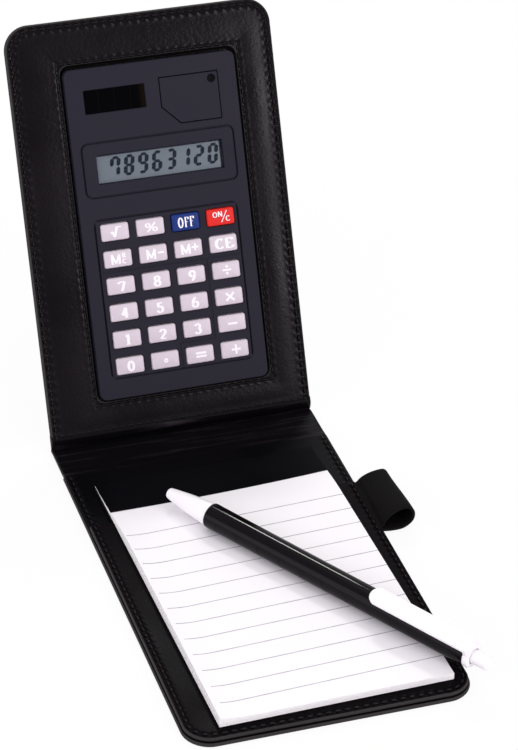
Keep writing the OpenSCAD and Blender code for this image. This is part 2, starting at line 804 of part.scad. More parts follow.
module pen_clip() {
    bore = plunger_d / 2 + slide_gap;
    color(white) in_pen() {
        turned([
            [bore, rear_s - plug_l],
            [plug_d / 2, rear_s - plug_l],
            [plug_d / 2, rear_s],
            [pen_d / 2, rear_s],
            [pen_d / 2, collar_s],
            [bore, collar_s]
        ]);
        translate([0, 0, clip_low]) linear_extrude(clip_t) {
            translate([rear_s - clip_l + clip_w / 2, 0]) circle(d = clip_w);
            translate([rear_s - clip_l + clip_w / 2, -clip_w / 2])
                square([collar_s - rear_s + clip_l - clip_w / 2, clip_w]);
        }
        difference() {
            translate([rear_s, -clip_w / 2, 0]) cube([collar_l, clip_w, clip_low + cut]);
            translate([rear_s - cut, 0, 0]) rotate([0, 90, 0])
                cylinder(d = pen_d - fit_gap, h = collar_l + 2 * cut);
        }
    }
}

module pen_plunger() {
    edge = plunger_d / 6;
    color(white) in_pen() turned([
        [0, plunger_s],
        [plunger_d / 2, plunger_s],
        [plunger_d / 2, plunger_end_s - edge],
        [plunger_d / 2 - edge, plunger_end_s],
        [0, plunger_end_s]
    ]);
}

module pen_refill() {
    tube_s = ball_in + ball_l;
    color(steel) in_pen() turned([
        [0, ball_in],
        [ball_d / 4, ball_in],
        [ball_d / 2, ball_in + ball_l / 4],
        [ball_d / 2, tube_s],
        [refill_d / 2, tube_s],
        [refill_d / 2, ears_s],
        [ears_d / 2, ears_s],
        [ears_d / 2, ears_s + ears_t],
        [refill_d / 2, ears_s + ears_t],
        [refill_d / 2, plunger_s],
        [0, plunger_s]
    ]);
}

// Return spring: one round wire wound on a helix, ring by ring
spring_rings_per_turn = 12;
spring_sides = 6;
spring_rings = spring_turns * spring_rings_per_turn + 1;
spring_pitch = (spring_end_s - spring_start_s) / spring_turns;
function spring_angle(i) = i * 360 / spring_rings_per_turn;
function spring_point(i, k) =
    let (a = spring_angle(i), b = k * 360 / spring_sides)
    let (radius = spring_r + spring_wire / 2 * cos(b))
    [
        spring_start_s + i / spring_rings_per_turn * spring_pitch + spring_wire / 2 * sin(b),
        radius * cos(a),
        radius * sin(a)
    ];
echo(spring_gap = norm(spring_point(spring_rings_per_turn, 0) - spring_point(0, 0)) - spring_wire);

module pen_spring() {
    points = [for (i = [0 : spring_rings - 1], k = [0 : spring_sides - 1]) spring_point(i, k)];
    last = (spring_rings - 1) * spring_sides;
    side_faces = [
        for (i = [0 : spring_rings - 2], k = [0 : spring_sides - 1])
            let (a = i * spring_sides + k, b = i * spring_sides + (k + 1) % spring_sides)
            each [[a, b, b + spring_sides], [a, b + spring_sides, a + spring_sides]]
    ];
    start_faces = [for (k = [1 : spring_sides - 2]) [0, k + 1, k]];
    end_faces = [for (k = [1 : spring_sides - 2]) [last, last + k, last + k + 1]];
    color(steel) in_pen() polyhedron(points, concat(side_faces, start_faces, end_faces));
}

base_outer_cover();
base_board();
base_lining();
base_pocket();
pen_loop();
spine_cover();
spine_lining();
lid_outer_cover();
lid_board();
lid_frame();
calc_front_case();
calc_back_case();
lcd_window();
lcd_glass();
zebra_strip();
circuit_board();
chip_blob();
rubber_keypad();
solar_cell();
button_cell();
battery_contacts();
case_screws();
battery_door();
battery_door_screw();
pad_card_back();
pad_pages();
pad_top_sheet();
pad_binding_strip();
pen_barrel();
pen_nose();
pen_clip();
pen_plunger();
pen_refill();
pen_spring();
for (i = [0 : len(KEY_NAMES) - 1])
    key(i);
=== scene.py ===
"""Calculator with notepad: a folding leather cover with a calculator in its lid, a memo pad and a pen."""
import json
import math

import bmesh
import bpy
from mathutils import Matrix, Vector
from mathutils.geometry import normal, tessellate_polygon


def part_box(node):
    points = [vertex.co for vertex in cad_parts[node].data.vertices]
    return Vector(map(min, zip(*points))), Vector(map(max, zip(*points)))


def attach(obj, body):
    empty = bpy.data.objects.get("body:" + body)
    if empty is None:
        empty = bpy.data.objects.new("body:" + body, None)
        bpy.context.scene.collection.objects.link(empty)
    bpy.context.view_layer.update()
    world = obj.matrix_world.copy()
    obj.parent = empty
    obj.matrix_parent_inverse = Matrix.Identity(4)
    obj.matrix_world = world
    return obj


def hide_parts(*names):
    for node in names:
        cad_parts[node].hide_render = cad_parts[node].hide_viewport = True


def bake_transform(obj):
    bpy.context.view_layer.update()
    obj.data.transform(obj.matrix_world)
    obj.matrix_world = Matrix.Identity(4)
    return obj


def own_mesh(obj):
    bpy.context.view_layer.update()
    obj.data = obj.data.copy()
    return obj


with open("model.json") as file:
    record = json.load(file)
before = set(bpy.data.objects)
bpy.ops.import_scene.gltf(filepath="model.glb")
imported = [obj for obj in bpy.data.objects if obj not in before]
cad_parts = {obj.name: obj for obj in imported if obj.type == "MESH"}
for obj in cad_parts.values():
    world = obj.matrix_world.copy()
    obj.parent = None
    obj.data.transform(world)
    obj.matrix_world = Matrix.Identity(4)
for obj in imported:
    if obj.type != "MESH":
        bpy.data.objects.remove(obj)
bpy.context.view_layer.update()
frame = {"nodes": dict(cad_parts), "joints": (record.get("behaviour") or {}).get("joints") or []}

# Lengths in this script are millimetres. A mesh is turned into metres when it is made.
MM = 0.001

# Frames of the panels, the pad and the pen, from the joints and the solids

joints = {joint["name"]: joint for joint in frame["joints"]}
base_axis = Vector(joints["spine_fold"]["pos_m"]) / MM
lid_axis = Vector(joints["lid_fold"]["pos_m"]) / MM
lid_tilt = math.radians(-joints["lid_fold"]["range_deg"][0])


def box_middle(node):
    """Middle of a solid's box."""
    low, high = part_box(node)
    return (low + high) / (2 * MM)


def local_points(node, place):
    """Points of a solid, seen from a panel, the pad or the pen."""
    back = place.inverted() @ Matrix.Scale(1 / MM, 4)
    return [back @ vertex.co for vertex in frame["nodes"][node].data.vertices]


def local_box(node, place):
    """Lowest and highest corner of a solid, seen from a panel, the pad or the pen."""
    points = local_points(node, place)
    return Vector(tuple(map(min, *points))), Vector(tuple(map(max, *points)))


# A panel's x runs across it, y from its crease to its free edge, z from its outer face
BASE = Matrix.Translation((0, base_axis.y, 0)) @ Matrix.Rotation(math.pi, 4, "Z")
LID = (
    Matrix.Translation(lid_axis)
    @ Matrix.Rotation(lid_tilt, 4, "X")
    @ Matrix.Translation((0, 0, -lid_axis.z))
)
pad_turn = math.asin(joints["pad_slide"]["axis"][0])
pad_middle = box_middle("pad_card_back")
PAD = Matrix.Translation((pad_middle.x, pad_middle.y, 0)) @ Matrix.Rotation(pad_turn, 4, "Z")
# The pen's x runs along its axis from the tip of the nose, z points to its clip
click = Vector(joints["pen_click"]["axis"])
pen_heading = math.atan2(-click.y, -click.x)
PEN = Matrix.Translation(box_middle("pen_barrel")) @ Matrix.Rotation(pen_heading, 4, "Z")
# Stretch of the clip's free end that shows on which side the clip lies, and how wide it is
CLIP_END_L = 10
clip_start = local_box("pen_clip", PEN)[0].x
clip_end_points = [p for p in local_points("pen_clip", PEN) if p.x < clip_start + CLIP_END_L]
clip_side = sum(clip_end_points, Vector()) / len(clip_end_points)
PEN = PEN @ Matrix.Translation((local_box("pen_nose", PEN)[0].x, 0, 0))
PEN = PEN @ Matrix.Rotation(math.atan2(-clip_side.y, clip_side.z), 4, "X")

# Camera: place and aim of the photograph's view, and its small roll

CAMERA_PLACE = Vector((-273.0, -757.4, 633.8))
CAMERA_AIM = Vector((3.2, 19.2, 67.6))
CAMERA_ROLL = math.radians(2.36)
CAMERA_LENS = 153.0

camera_data = bpy.data.cameras.new("camera")
camera_data.lens = CAMERA_LENS
camera_data.clip_start = 0.01
camera = bpy.data.objects.new("camera", camera_data)
bpy.context.scene.collection.objects.link(camera)
look = (CAMERA_AIM - CAMERA_PLACE).to_track_quat("-Z", "Y").to_matrix().to_4x4()
camera.matrix_world = Matrix.Translation(CAMERA_PLACE * MM) @ look @ Matrix.Rotation(CAMERA_ROLL, 4, "Z")
bpy.context.scene.camera = camera
bpy.context.scene.view_settings.view_transform = "Standard"

# Node trees


def node(tree, kind, inputs=None, **settings):
    """Adds a node, with its settings, and sets or links its inputs by name or number."""
    made = tree.nodes.new(kind)
    for name, value in settings.items():
        setattr(made, name, value)
    for name, value in (inputs or {}).items():
        if isinstance(value, bpy.types.NodeSocket):
            tree.links.new(value, made.inputs[name])
        else:
            made.inputs[name].default_value = value
    return made


def result(tree, kind, inputs=None, **settings):
    """First output of a new node."""
    return node(tree, kind, inputs, **settings).outputs[0]


def math_node(tree, operation, *values):
    """Result of a Math node on one to three values."""
    return result(tree, "ShaderNodeMath", dict(enumerate(values)), operation=operation)


def product(tree, value, *factors):
    """Value times each of the factors."""
    for factor in factors:
        value = math_node(tree, "MULTIPLY", value, factor)
    return value


def weighed(tree, first, first_share, second, second_share):
    """Sum of two values, each times its share."""
    return math_node(tree, "MULTIPLY_ADD", first, first_share, product(tree, second, second_share))


def mapped(tree, value, from_low, from_high, to_low, to_high, kind="LINEAR"):
    """Value moved from one range to another."""
    inputs = dict(enumerate((value, from_low, from_high, to_low, to_high)))
    return result(tree, "ShaderNodeMapRange", inputs, interpolation_type=kind)


def rising(tree, value, low, high):
    """Soft change from 0 at a low value to 1 at a high one."""
    return mapped(tree, value, low, high, 0, 1, "SMOOTHSTEP")


def parts_of(tree, vector):
    """The x, y and z of a vector."""
    return node(tree, "ShaderNodeSeparateXYZ", {0: vector}).outputs


def vector_of(tree, x=0.0, y=0.0, z=0.0):
    """Vector from its x, y and z."""
    return result(tree, "ShaderNodeCombineXYZ", {0: x, 1: y, 2: z})


def object_place(tree):
    """Place on the surface, in the object's own frame."""
    return node(tree, "ShaderNodeTexCoord").outputs["Object"]


def mixed_colour(tree, factor, first, second):
    """Colour between two colours."""
    inputs = {0: factor}
    for number, colour in ((6, first), (7, second)):
        inputs[number] = colour if isinstance(colour, bpy.types.NodeSocket) else (*colour, 1)
    return node(tree, "ShaderNodeMix", inputs, data_type="RGBA").outputs[2]


def noise(tree, vector, scale, detail=3.0, distortion=0.0):
    """Noise value from 0 to 1."""
    inputs = {"Vector": vector, "Scale": scale, "Detail": detail, "Distortion": distortion}
    return result(tree, "ShaderNodeTexNoise", inputs)


def drawn_lines(tree, scale, stretch, detail, distortion=0.0):
    """Noise that is drawn out into lines along x."""
    stretched = result(tree, "ShaderNodeMapping", {"Vector": object_place(tree), "Scale": (stretch, 1, 1)})
    return noise(tree, stretched, scale, detail, distortion)


# Effects: shader groups that put out a tone, marks and a height


def effect_group(name, inputs):
    """Shader group with value inputs, and the sockets that give them."""
    tree = bpy.data.node_groups.new(name, "ShaderNodeTree")
    for socket, value in inputs.items():
        made = tree.interface.new_socket(socket, in_out="INPUT", socket_type="NodeSocketFloat")
        made.default_value = value
    return tree, node(tree, "NodeGroupInput").outputs


def end_effect(tree, tone, marks, height):
    """Ends a group in its tone, marks and height."""
    results = {"Tone": tone, "Marks": marks, "Height": height}
    for socket in results:
        tree.interface.new_socket(socket, in_out="OUTPUT", socket_type="NodeSocketFloat")
    node(tree, "NodeGroupOutput", results)
    return tree


def leather_grain():
    """Fine pebbled grain, with soft pressing marks and uneven dye."""
    tree, start = effect_group("leather_grain", {"Pebbles": 1600.0, "Patches": 28.0, "Waves": 1.5})
    where = object_place(tree)
    dye = noise(tree, where, start["Patches"], 2.0)
    cells = {"Vector": where, "Scale": start["Pebbles"]}
    pebbles = node(tree, "ShaderNodeTexVoronoi", cells, feature="SMOOTH_F1").outputs["Distance"]
    creases = noise(tree, where, product(tree, start["Pebbles"], 0.3), 4.0, 0.6)
    waves = noise(tree, where, product(tree, start["Patches"], 3.0), 3.0, 0.3)
    height = math_node(tree, "MULTIPLY_ADD", creases, 0.6, 0.4)
    height = math_node(tree, "MULTIPLY_ADD", pebbles, -0.55, height)
    height = math_node(tree, "MULTIPLY_ADD", waves, start["Waves"], height)
    return end_effect(tree, weighed(tree, creases, 0.4, dye, 0.6), rising(tree, dye, 0.3, 0.7), height)


def moulded_speckle():
    """Fine texture of a moulded or pressed surface, with faint handling marks."""
    tree, start = effect_group("moulded_speckle", {"Speckles": 2500.0, "Patches": 40.0})
    fine = noise(tree, object_place(tree), start["Speckles"], 2.0)
    broad = noise(tree, object_place(tree), start["Patches"], 3.0, 0.8)
    return end_effect(tree, weighed(tree, fine, 0.35, broad, 0.65), mapped(tree, broad, 0.3, 0.7, 0, 1), fine)


def brushed_lines():
    """Fine lines drawn along x, as on worked metal."""
    tree, start = effect_group("brushed_lines", {"Lines": 3000.0, "Patches": 120.0})
    lines = drawn_lines(tree, start["Lines"], 0.04, 2.0)
    broad = noise(tree, object_place(tree), start["Patches"], 2.0)
    return end_effect(tree, weighed(tree, lines, 0.6, broad, 0.4), broad, lines)


def fold_streaks():
    """Fine lines along x that are paler in patches, as where leather folds."""
    tree, start = effect_group("fold_streaks", {"Streaks": 520.0, "Patches": 60.0})
    lines = rising(tree, drawn_lines(tree, start["Streaks"], 0.05, 3.0, 0.2), 0.5, 0.72)
    streak_patches = rising(tree, noise(tree, object_place(tree), start["Patches"]), 0.42, 0.7)
    fine = noise(tree, object_place(tree), product(tree, start["Streaks"], 4.0), 2.0)
    streak = product(tree, lines, math_node(tree, "MULTIPLY_ADD", streak_patches, 0.8, 0.2))
    height = weighed(tree, lines, 0.8, fine, 0.2)
    return end_effect(tree, weighed(tree, streak, 0.85, fine, 0.15), streak_patches, height)


def woven_ribs():
    """Ribs and cross threads that follow a strap's own UV map, in millimetres."""
    tree, start = effect_group("woven_ribs", {"Ribs": 1.1, "Threads": 1.6})
    strap = node(tree, "ShaderNodeTexCoord").outputs["UV"]
    across, along, _ = parts_of(tree, strap)
    ribs = math_node(tree, "SINE", product(tree, across, start["Ribs"], math.tau))
    threads = math_node(tree, "SINE", product(tree, along, start["Threads"], math.tau))
    weave = math_node(tree, "MULTIPLY_ADD", product(tree, ribs, threads), 0.35, 0.5)
    fuzz = noise(tree, strap, 3.0)
    return end_effect(tree, weighed(tree, fuzz, 0.5, weave, 0.5), fuzz, weave)


GRAIN = leather_grain()
SPECKLE = moulded_speckle()
BRUSHED = brushed_lines()
WOVEN = woven_ribs()
STREAKS = fold_streaks()

# Finishes


def finish(name, effect, values, dark, light, rough, depth, mirror=0.5, **constants):
    """Material whose colour, roughness and relief, of a depth in mm, follow one of the effects."""
    material = bpy.data.materials.new(name)
    material.use_nodes = True
    tree = material.node_tree
    shader = tree.nodes["Principled BSDF"]
    shader.inputs["Specular IOR Level"].default_value = mirror
    for socket, value in constants.items():
        shader.inputs[socket].default_value = value
    look = node(tree, "ShaderNodeGroup", None, node_tree=effect)
    for socket, value in values.items():
        look.inputs[socket].default_value = value
    tone, marks, height = look.outputs
    tree.links.new(mixed_colour(tree, tone, dark, light), shader.inputs["Base Color"])
    tree.links.new(mapped(tree, marks, 0, 1, *rough), shader.inputs["Roughness"])
    relief = result(tree, "ShaderNodeBump", {"Height": height, "Distance": depth * MM})
    tree.links.new(relief, shader.inputs["Normal"])
    return material


# Leather, thread and board
cover_leather = finish(
    "cover_leather", GRAIN, {"Pebbles": 1000.0},
    (0.0015, 0.001, 0.0015), (0.006, 0.004, 0.0055), (0.2, 0.32), 0.048, 0.085)
pocket_leather = finish(
    "pocket_leather", GRAIN, {"Pebbles": 1000.0},
    (0.0015, 0.001, 0.0015), (0.006, 0.0045, 0.0055), (0.32, 0.46), 0.05, 0.02)
# Lining leather, painted darker than the cover for the shade it lies in under the lid
inner_leather = finish(
    "inner_leather", GRAIN, {"Pebbles": 1900.0, "Patches": 45.0},
    (0.001, 0.001, 0.0015), (0.003, 0.0025, 0.0035), (0.3, 0.45), 0.02, 0.04)
creased_leather = finish(
    "creased_leather", STREAKS, {}, (0.001, 0.001, 0.0015), (0.03, 0.024, 0.03), (0.3, 0.45), 0.08, 0.06)
# Raw leather edges: paler partly for wear and partly as a painted highlight
leather_edge = finish(
    "leather_edge", GRAIN, {"Pebbles": 2600.0},
    (0.006, 0.0055, 0.0052), (0.042, 0.038, 0.036), (0.5, 0.7), 0.03, 0.2)
thread = finish(
    "thread", SPECKLE, {"Speckles": 5000.0},
    (0.002, 0.0015, 0.002), (0.008, 0.006, 0.008), (0.25, 0.4), 0.02, 0.15)
stiff_board = finish(
    "stiff_board", SPECKLE, {"Speckles": 1400.0}, (0.14, 0.12, 0.1), (0.24, 0.21, 0.17), (0.8, 0.95), 0.03)
# The lid's board is painted black for the shade in the gap round the calculator's window
shade_black_board = finish(
    "shade_black_board", SPECKLE, {"Speckles": 1400.0},
    (0.001, 0.001, 0.001), (0.004, 0.004, 0.004), (0.8, 0.95), 0.03, 0.05)
elastic = finish(
    "elastic", WOVEN, {}, (0.003, 0.003, 0.003), (0.01, 0.009, 0.009), (0.75, 0.9), 0.12, 0.06)

# Calculator
case_plastic = finish(
    "case_plastic", SPECKLE, {}, (0.0105, 0.01, 0.0165), (0.021, 0.0205, 0.0315), (0.42, 0.55), 0.012, 0.1)
keypad_rubber = finish(
    "keypad_rubber", SPECKLE, {}, (0.05, 0.05, 0.055), (0.09, 0.09, 0.1), (0.6, 0.75), 0.01)
circuit = finish(
    "circuit", BRUSHED, {"Lines": 500.0}, (0.006, 0.05, 0.02), (0.02, 0.12, 0.05), (0.35, 0.5), 0.02)
chip_resin = finish(
    "chip_resin", SPECKLE, {}, (0.006, 0.006, 0.007), (0.015, 0.015, 0.016), (0.25, 0.4), 0.02)
bright_steel = finish(
    "bright_steel", BRUSHED, {}, (0.5, 0.5, 0.52), (0.72, 0.72, 0.74), (0.2, 0.35), 0.004, Metallic=1.0)
black_screw = finish(
    "black_screw", BRUSHED, {}, (0.0015, 0.0015, 0.0015), (0.004, 0.004, 0.0045), (0.3, 0.45), 0.01, 0.04)
key_pale = finish(
    "key_pale", SPECKLE, {"Patches": 90.0}, (0.545, 0.483, 0.53), (0.67, 0.602, 0.655), (0.3, 0.45), 0.008)
key_blue = finish(
    "key_blue", SPECKLE, {"Patches": 90.0},
    (0.007, 0.022, 0.13), (0.012, 0.04, 0.21), (0.35, 0.5), 0.008, 0.15)
key_red = finish(
    "key_red", SPECKLE, {"Patches": 90.0}, (0.6, 0.014, 0.012), (0.78, 0.03, 0.022), (0.35, 0.5), 0.008, 0.15)
legend_white = finish(
    "legend_white", SPECKLE, {}, (0.88, 0.86, 0.88), (0.94, 0.93, 0.94), (0.4, 0.55), 0.004)
# Dark ink of the digits; it also paints the shade along the display's edges
lcd_ink_and_shade = finish(
    "lcd_ink_and_shade", SPECKLE, {}, (0.007, 0.012, 0.022), (0.012, 0.02, 0.035), (0.3, 0.4), 0.002, 0.05)
display = finish(
    "display", SPECKLE, {"Patches": 25.0},
    (0.185, 0.235, 0.265), (0.23, 0.285, 0.32), (0.3, 0.4), 0.002, 0.2)
clear_window = finish(
    "clear_window", SPECKLE, {"Patches": 60.0},
    (0.02, 0.02, 0.022), (0.03, 0.03, 0.033), (0.05, 0.12), 0.001, Alpha=0.12)

# Notepad and pen
pad_card = finish(
    "pad_card", SPECKLE, {"Speckles": 1200.0},
    (0.012, 0.011, 0.013), (0.022, 0.02, 0.023), (0.85, 0.95), 0.03, 0.1)
# Paper of the stack's sides, painted paler and a little greener than the top sheet to cancel the shade and
# violet light on those sides
page_edge = finish(
    "page_edge", SPECKLE, {"Speckles": 3000.0}, (0.92, 0.93, 0.91), (0.97, 0.98, 0.96), (0.8, 0.95), 0.01)
binding = finish(
    "binding", GRAIN, {"Pebbles": 2600.0, "Patches": 60.0},
    (0.0012, 0.0012, 0.002), (0.004, 0.004, 0.0055), (0.3, 0.5), 0.012, 0.02)
pen_black = finish(
    "pen_black", SPECKLE, {"Speckles": 600.0},
    (0.0015, 0.001, 0.0015), (0.004, 0.003, 0.004), (0.07, 0.12), 0.0004, 0.13)
pen_white = finish(
    "pen_white", SPECKLE, {"Speckles": 700.0}, (0.86, 0.85, 0.87), (0.93, 0.92, 0.93), (0.18, 0.3), 0.002)
ink_tube = finish(
    "ink_tube", SPECKLE, {}, (0.5, 0.5, 0.5), (0.65, 0.65, 0.66), (0.3, 0.4), 0.004)

# The solar cell's glass: cells in a row, and the share of its length where it turns brown
SOLAR_CELLS = 4.0
SOLAR_LINE = 0.012
SOLAR_BROWN = 0.84, 0.98
# The pad's printing and binding
STRIP_W = 17.3
FIRST_LINE = 14.2
LINE_PITCH = 7.93
LINE_COUNT = 12
LINE_W = 0.34
LINE_MARGIN = 1.3
# How far a printed line's edge is softened, as a share of half its width
LINE_BLUR = 0.3
# The printing and the strip's front edge lie a little askew on the pad
PRINT_TURN = math.radians(1.3)


def colour_of(material):
    """Tree of a material, its colour so far and the input that takes its colour."""
    tree = material.node_tree
    taken = tree.nodes["Principled BSDF"].inputs["Base Color"]
    return tree, taken.links[0].from_socket, taken


def solar_finish():
    """Dark cell glass: thin lines part the cells, and its right end is brownish."""
    material = finish(
        "solar_glass", SPECKLE, {},
        (0.0006, 0.0005, 0.0008), (0.0015, 0.0013, 0.0018), (0.1, 0.16), 0.002, 0.02)
    tree, glass, taken = colour_of(material)
    low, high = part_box("solar_cell")
    share = mapped(tree, parts_of(tree, object_place(tree))[0], low.x, high.x, 0, 1)
    brown = mixed_colour(tree, rising(tree, share, *SOLAR_BROWN), glass, (0.007, 0.005, 0.003))
    off_line = math_node(tree, "PINGPONG", product(tree, share, SOLAR_CELLS), 0.5)
    line = math_node(tree, "LESS_THAN", off_line, SOLAR_LINE)
    tree.links.new(mixed_colour(tree, line, brown, (0.005, 0.0045, 0.0045)), taken)
    return material


def ruled_paper():
    """White writing paper with printed grey lines, which follow the pad's turn."""
    material = finish(
        "pad_paper", SPECKLE, {"Speckles": 1800.0, "Patches": 15.0},
        (0.87, 0.86, 0.88), (0.93, 0.925, 0.935), (0.8, 0.95), 0.004, 0.2)
    tree, paper, taken = colour_of(material)
    margin = local_box("pad_top_sheet", PAD)[0].x + LINE_MARGIN
    first_line = local_box("pad_binding_strip", PAD)[1].y - STRIP_W - FIRST_LINE
    where = object_place(tree)
    seen = {"Vector": where, "Location": PAD.translation * MM, "Rotation": (0, 0, pad_turn + PRINT_TURN)}
    x, y, _ = parts_of(tree, result(tree, "ShaderNodeMapping", seen, vector_type="TEXTURE"))
    down = math_node(tree, "DIVIDE", math_node(tree, "SUBTRACT", first_line * MM, y), LINE_PITCH * MM)
    off_line = math_node(tree, "PINGPONG", down, 0.5)
    half = LINE_W / LINE_PITCH / 2
    on_line = mapped(tree, off_line, half * (1 - LINE_BLUR), half * (1 + LINE_BLUR), 1, 0, "SMOOTHSTEP")
    below_first = math_node(tree, "GREATER_THAN", down, -0.3)
    above_last = math_node(tree, "LESS_THAN", down, LINE_COUNT - 0.7)
    in_margin = math_node(tree, "GREATER_THAN", x, margin * MM)
    uneven = mapped(tree, noise(tree, where, 300.0), 0.3, 0.7, 0.7, 1.0)
    ink = product(tree, on_line, below_first, above_last, in_margin, uneven)
    tree.links.new(mixed_colour(tree, ink, paper, (0.3, 0.3, 0.34)), taken)
    return material


solar_glass = solar_finish()
pad_paper = ruled_paper()

# Shapes


def arc(start, end, steps):
    """Angles in radians from start to end, which are in degrees."""
    return [math.radians(start + (end - start) * i / steps) for i in range(steps + 1)]


def round_trip(steps):
    """Angles in radians of equal steps right round a circle."""
    return arc(0, 360 - 360 / steps, steps - 1)


def smooth_step(value):
    """Soft change from 0 to 1."""
    value = min(max(value, 0.0), 1.0)
    return value * value * (3 - 2 * value)


def rounded_rect(low, high, radius, steps=6, sides=1):
    """Outline of a rectangle with round corners, counter-clockwise, with its sides cut into equal parts."""
    corners = (
        (high[0] - radius, low[1] + radius, -90), (high[0] - radius, high[1] - radius, 0),
        (low[0] + radius, high[1] - radius, 90), (low[0] + radius, low[1] + radius, 180))
    arcs = [
        [(x + radius * math.cos(a), y + radius * math.sin(a)) for a in arc(turn, turn + 90, steps)]
        for x, y, turn in corners]
    ring = []
    for here, after in zip(arcs, arcs[1:] + arcs[:1]):
        end, start = Vector(here[-1]), Vector(after[0])
        ring += here + [tuple(end.lerp(start, k / sides)) for k in range(1, sides)]
    return ring


def grow(ring, width):
    """Counter-clockwise outline moved outwards by a width."""
    moved = []
    for before, here, after in zip(ring[-1:] + ring[:-1], ring, ring[1:] + ring[:1]):
        first = (Vector(here) - Vector(before)).normalized()
        second = (Vector(after) - Vector(here)).normalized()
        side = Vector((first.y + second.y, -first.x - second.x)) * (width / (1 + first.dot(second)))
        moved.append((here[0] + side.x, here[1] + side.y))
    return moved


def resampled(path, step):
    """Path with points at most a step apart."""
    line = [Vector(path[0])]
    for a, b in zip(path, path[1:]):
        count = math.ceil((Vector(b) - Vector(a)).length / step)
        line += [Vector(a).lerp(Vector(b), k / count) for k in range(1, count + 1)]
    return line


def lengths_along(path):
    """Distance of each point of a path from its first point."""
    done = [0.0]
    for a, b in zip(path, path[1:]):
        done.append(done[-1] + (Vector(b) - Vector(a)).length)
    return done


def loft(rings, closed=True, caps=True):
    """Points and faces of a skin over rings of equally many points."""
    count = len(rings[0])
    points = [point for ring in rings for point in ring]
    faces = []
    for start in range(0, len(points) - count, count):
        for k in range(count if closed else count - 1):
            a, b = start + k, start + (k + 1) % count
            faces.append((a, b, b + count, a + count))
    if caps:
        faces += [range(count), range(len(points) - count, len(points))]
    return points, faces


def between(points, loops):
    """Faces that fill the flat region inside the first loop and outside the others."""
    order = [i for loop in loops for i in loop]
    triangles = tessellate_polygon([[Vector(points[i]) for i in loop] for loop in loops])
    return [[order[i] for i in triangle] for triangle in triangles]


# Width of the flat band that keeps a rounded edge's shading off the flat face beside it
HOLD = 0.06


def plate(outline, holes, low, high, edge):
    """Points and faces of a flat plate with holes and rounded upper edges."""
    points, faces, floors, tops = [], [], [], []
    profile = [(0, low), (0, high - edge)]
    profile += [(edge * (1 - math.cos(a)), high - edge * (1 - math.sin(a))) for a in arc(30, 90, 2)]
    profile += [(edge + HOLD, high)]
    for ring, way in [(outline, -1)] + [(hole, 1) for hole in holes]:
        rings = [[(x, y, z) for x, y in grow(ring, way * width)] for width, z in profile]
        skin, sides = loft(rings, caps=False)
        start = len(points)
        points += skin
        faces += [[start + i for i in side] for side in sides]
        floors.append(range(start, start + len(ring)))
        tops.append(range(len(points) - len(ring), len(points)))
    return points, faces + between(points, floors) + between(points, tops)


def turned(profile, hollow=False, steps=56):
    """Points and faces of a piece turned about the pen's axis, from points of radius and place."""
    rings = [[(s, r * math.cos(a), r * math.sin(a)) for a in round_trip(steps)] for r, s in profile]
    if hollow:
        return loft(rings + rings[:1], caps=False)
    return loft(rings)


def spline(points, steps, closed=False):
    """Smooth line through points."""
    count = len(points)
    line = []
    for i in range(count if closed else count - 1):
        around = range(i - 1, i + 3)
        near = [points[k % count] if closed else points[min(max(k, 0), count - 1)] for k in around]
        a, b, c, d = map(Vector, near)
        for k in range(steps):
            t = k / steps
            line.append((2 * b + (c - a) * t + (2 * a - 5 * b + 4 * c - d) * t ** 2
                         + (3 * b - a - 3 * c + d) * t ** 3) / 2)
    return line if closed else line + [Vector(points[-1])]


class Piece:
    """Closed shells, in mm, that become one mesh."""

    def __init__(self):
        self.points, self.faces, self.slots = [], [], []

    def add(self, shell, slot=0):
        points, faces = shell
        start = len(self.points)
        self.points += [tuple(point) for point in points]
        self.faces += [[start + i for i in face] for face in faces]
        self.slots += [slot] * len(faces)
        return self

    def make(self, name, materials, place=Matrix(), sharp=38):
        """Object with the shells in their place, faces outwards; edges past an angle stay sharp."""
        mesh = bpy.data.meshes.new(name)
        mesh.from_pydata(self.points, [], self.faces)
        for material in materials:
            mesh.materials.append(material)
        mesh.polygons.foreach_set("material_index", self.slots)
        return settle(name, mesh, place, sharp)


def settle(name, mesh, place, sharp):
    """Finished object from a mesh in mm: merged, turned outwards, shaded and placed."""
    work = bmesh.new()
    work.from_mesh(mesh)
    bmesh.ops.remove_doubles(work, verts=work.verts, dist=0.0005)
    bmesh.ops.recalc_face_normals(work, faces=work.faces)
    work.to_mesh(mesh)
    work.free()
    mesh.transform(Matrix.Scale(MM, 4) @ place)
    mesh.shade_smooth()
    mesh.set_sharp_from_angle(angle=math.radians(sharp))
    made = bpy.data.objects.new(name, mesh)
    bpy.context.scene.collection.objects.link(made)
    return made


def put(piece, body, slot, *nodes):
    """Lets a finished piece ride on its body and stand for its solids."""
    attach(piece, body)
    if nodes:
        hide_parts(*nodes)
    return piece


# Geometry Nodes


def rule_tree(name, inputs):
    """Geometry tree with named inputs and a material, and the sockets that give them."""
    tree = bpy.data.node_groups.new(name, "GeometryNodeTree")
    for socket, kind in {"Geometry": "Geometry", **inputs, "Material": "Material"}.items():
        tree.interface.new_socket(socket, in_out="INPUT", socket_type="NodeSocket" + kind)
    tree.interface.new_socket("Geometry", in_out="OUTPUT", socket_type="NodeSocketGeometry")
    return tree, node(tree, "NodeGroupInput").outputs


def end_tree(tree, start, geometry):
    """Ends a tree in Realize Instances and Set Material."""
    real = result(tree, "GeometryNodeRealizeInstances", {0: geometry})
    done = result(tree, "GeometryNodeSetMaterial", {"Geometry": real, "Material": start["Material"]})
    node(tree, "NodeGroupOutput", {0: done})
    return tree


def random_shift(tree, reach, seed):
    """Random value from minus a reach to plus a reach, drawn for each point."""
    inputs = {2: product(tree, reach, -1.0), 3: reach, "Seed": seed}
    return node(tree, "FunctionNodeRandomValue", inputs, data_type="FLOAT").outputs[1]


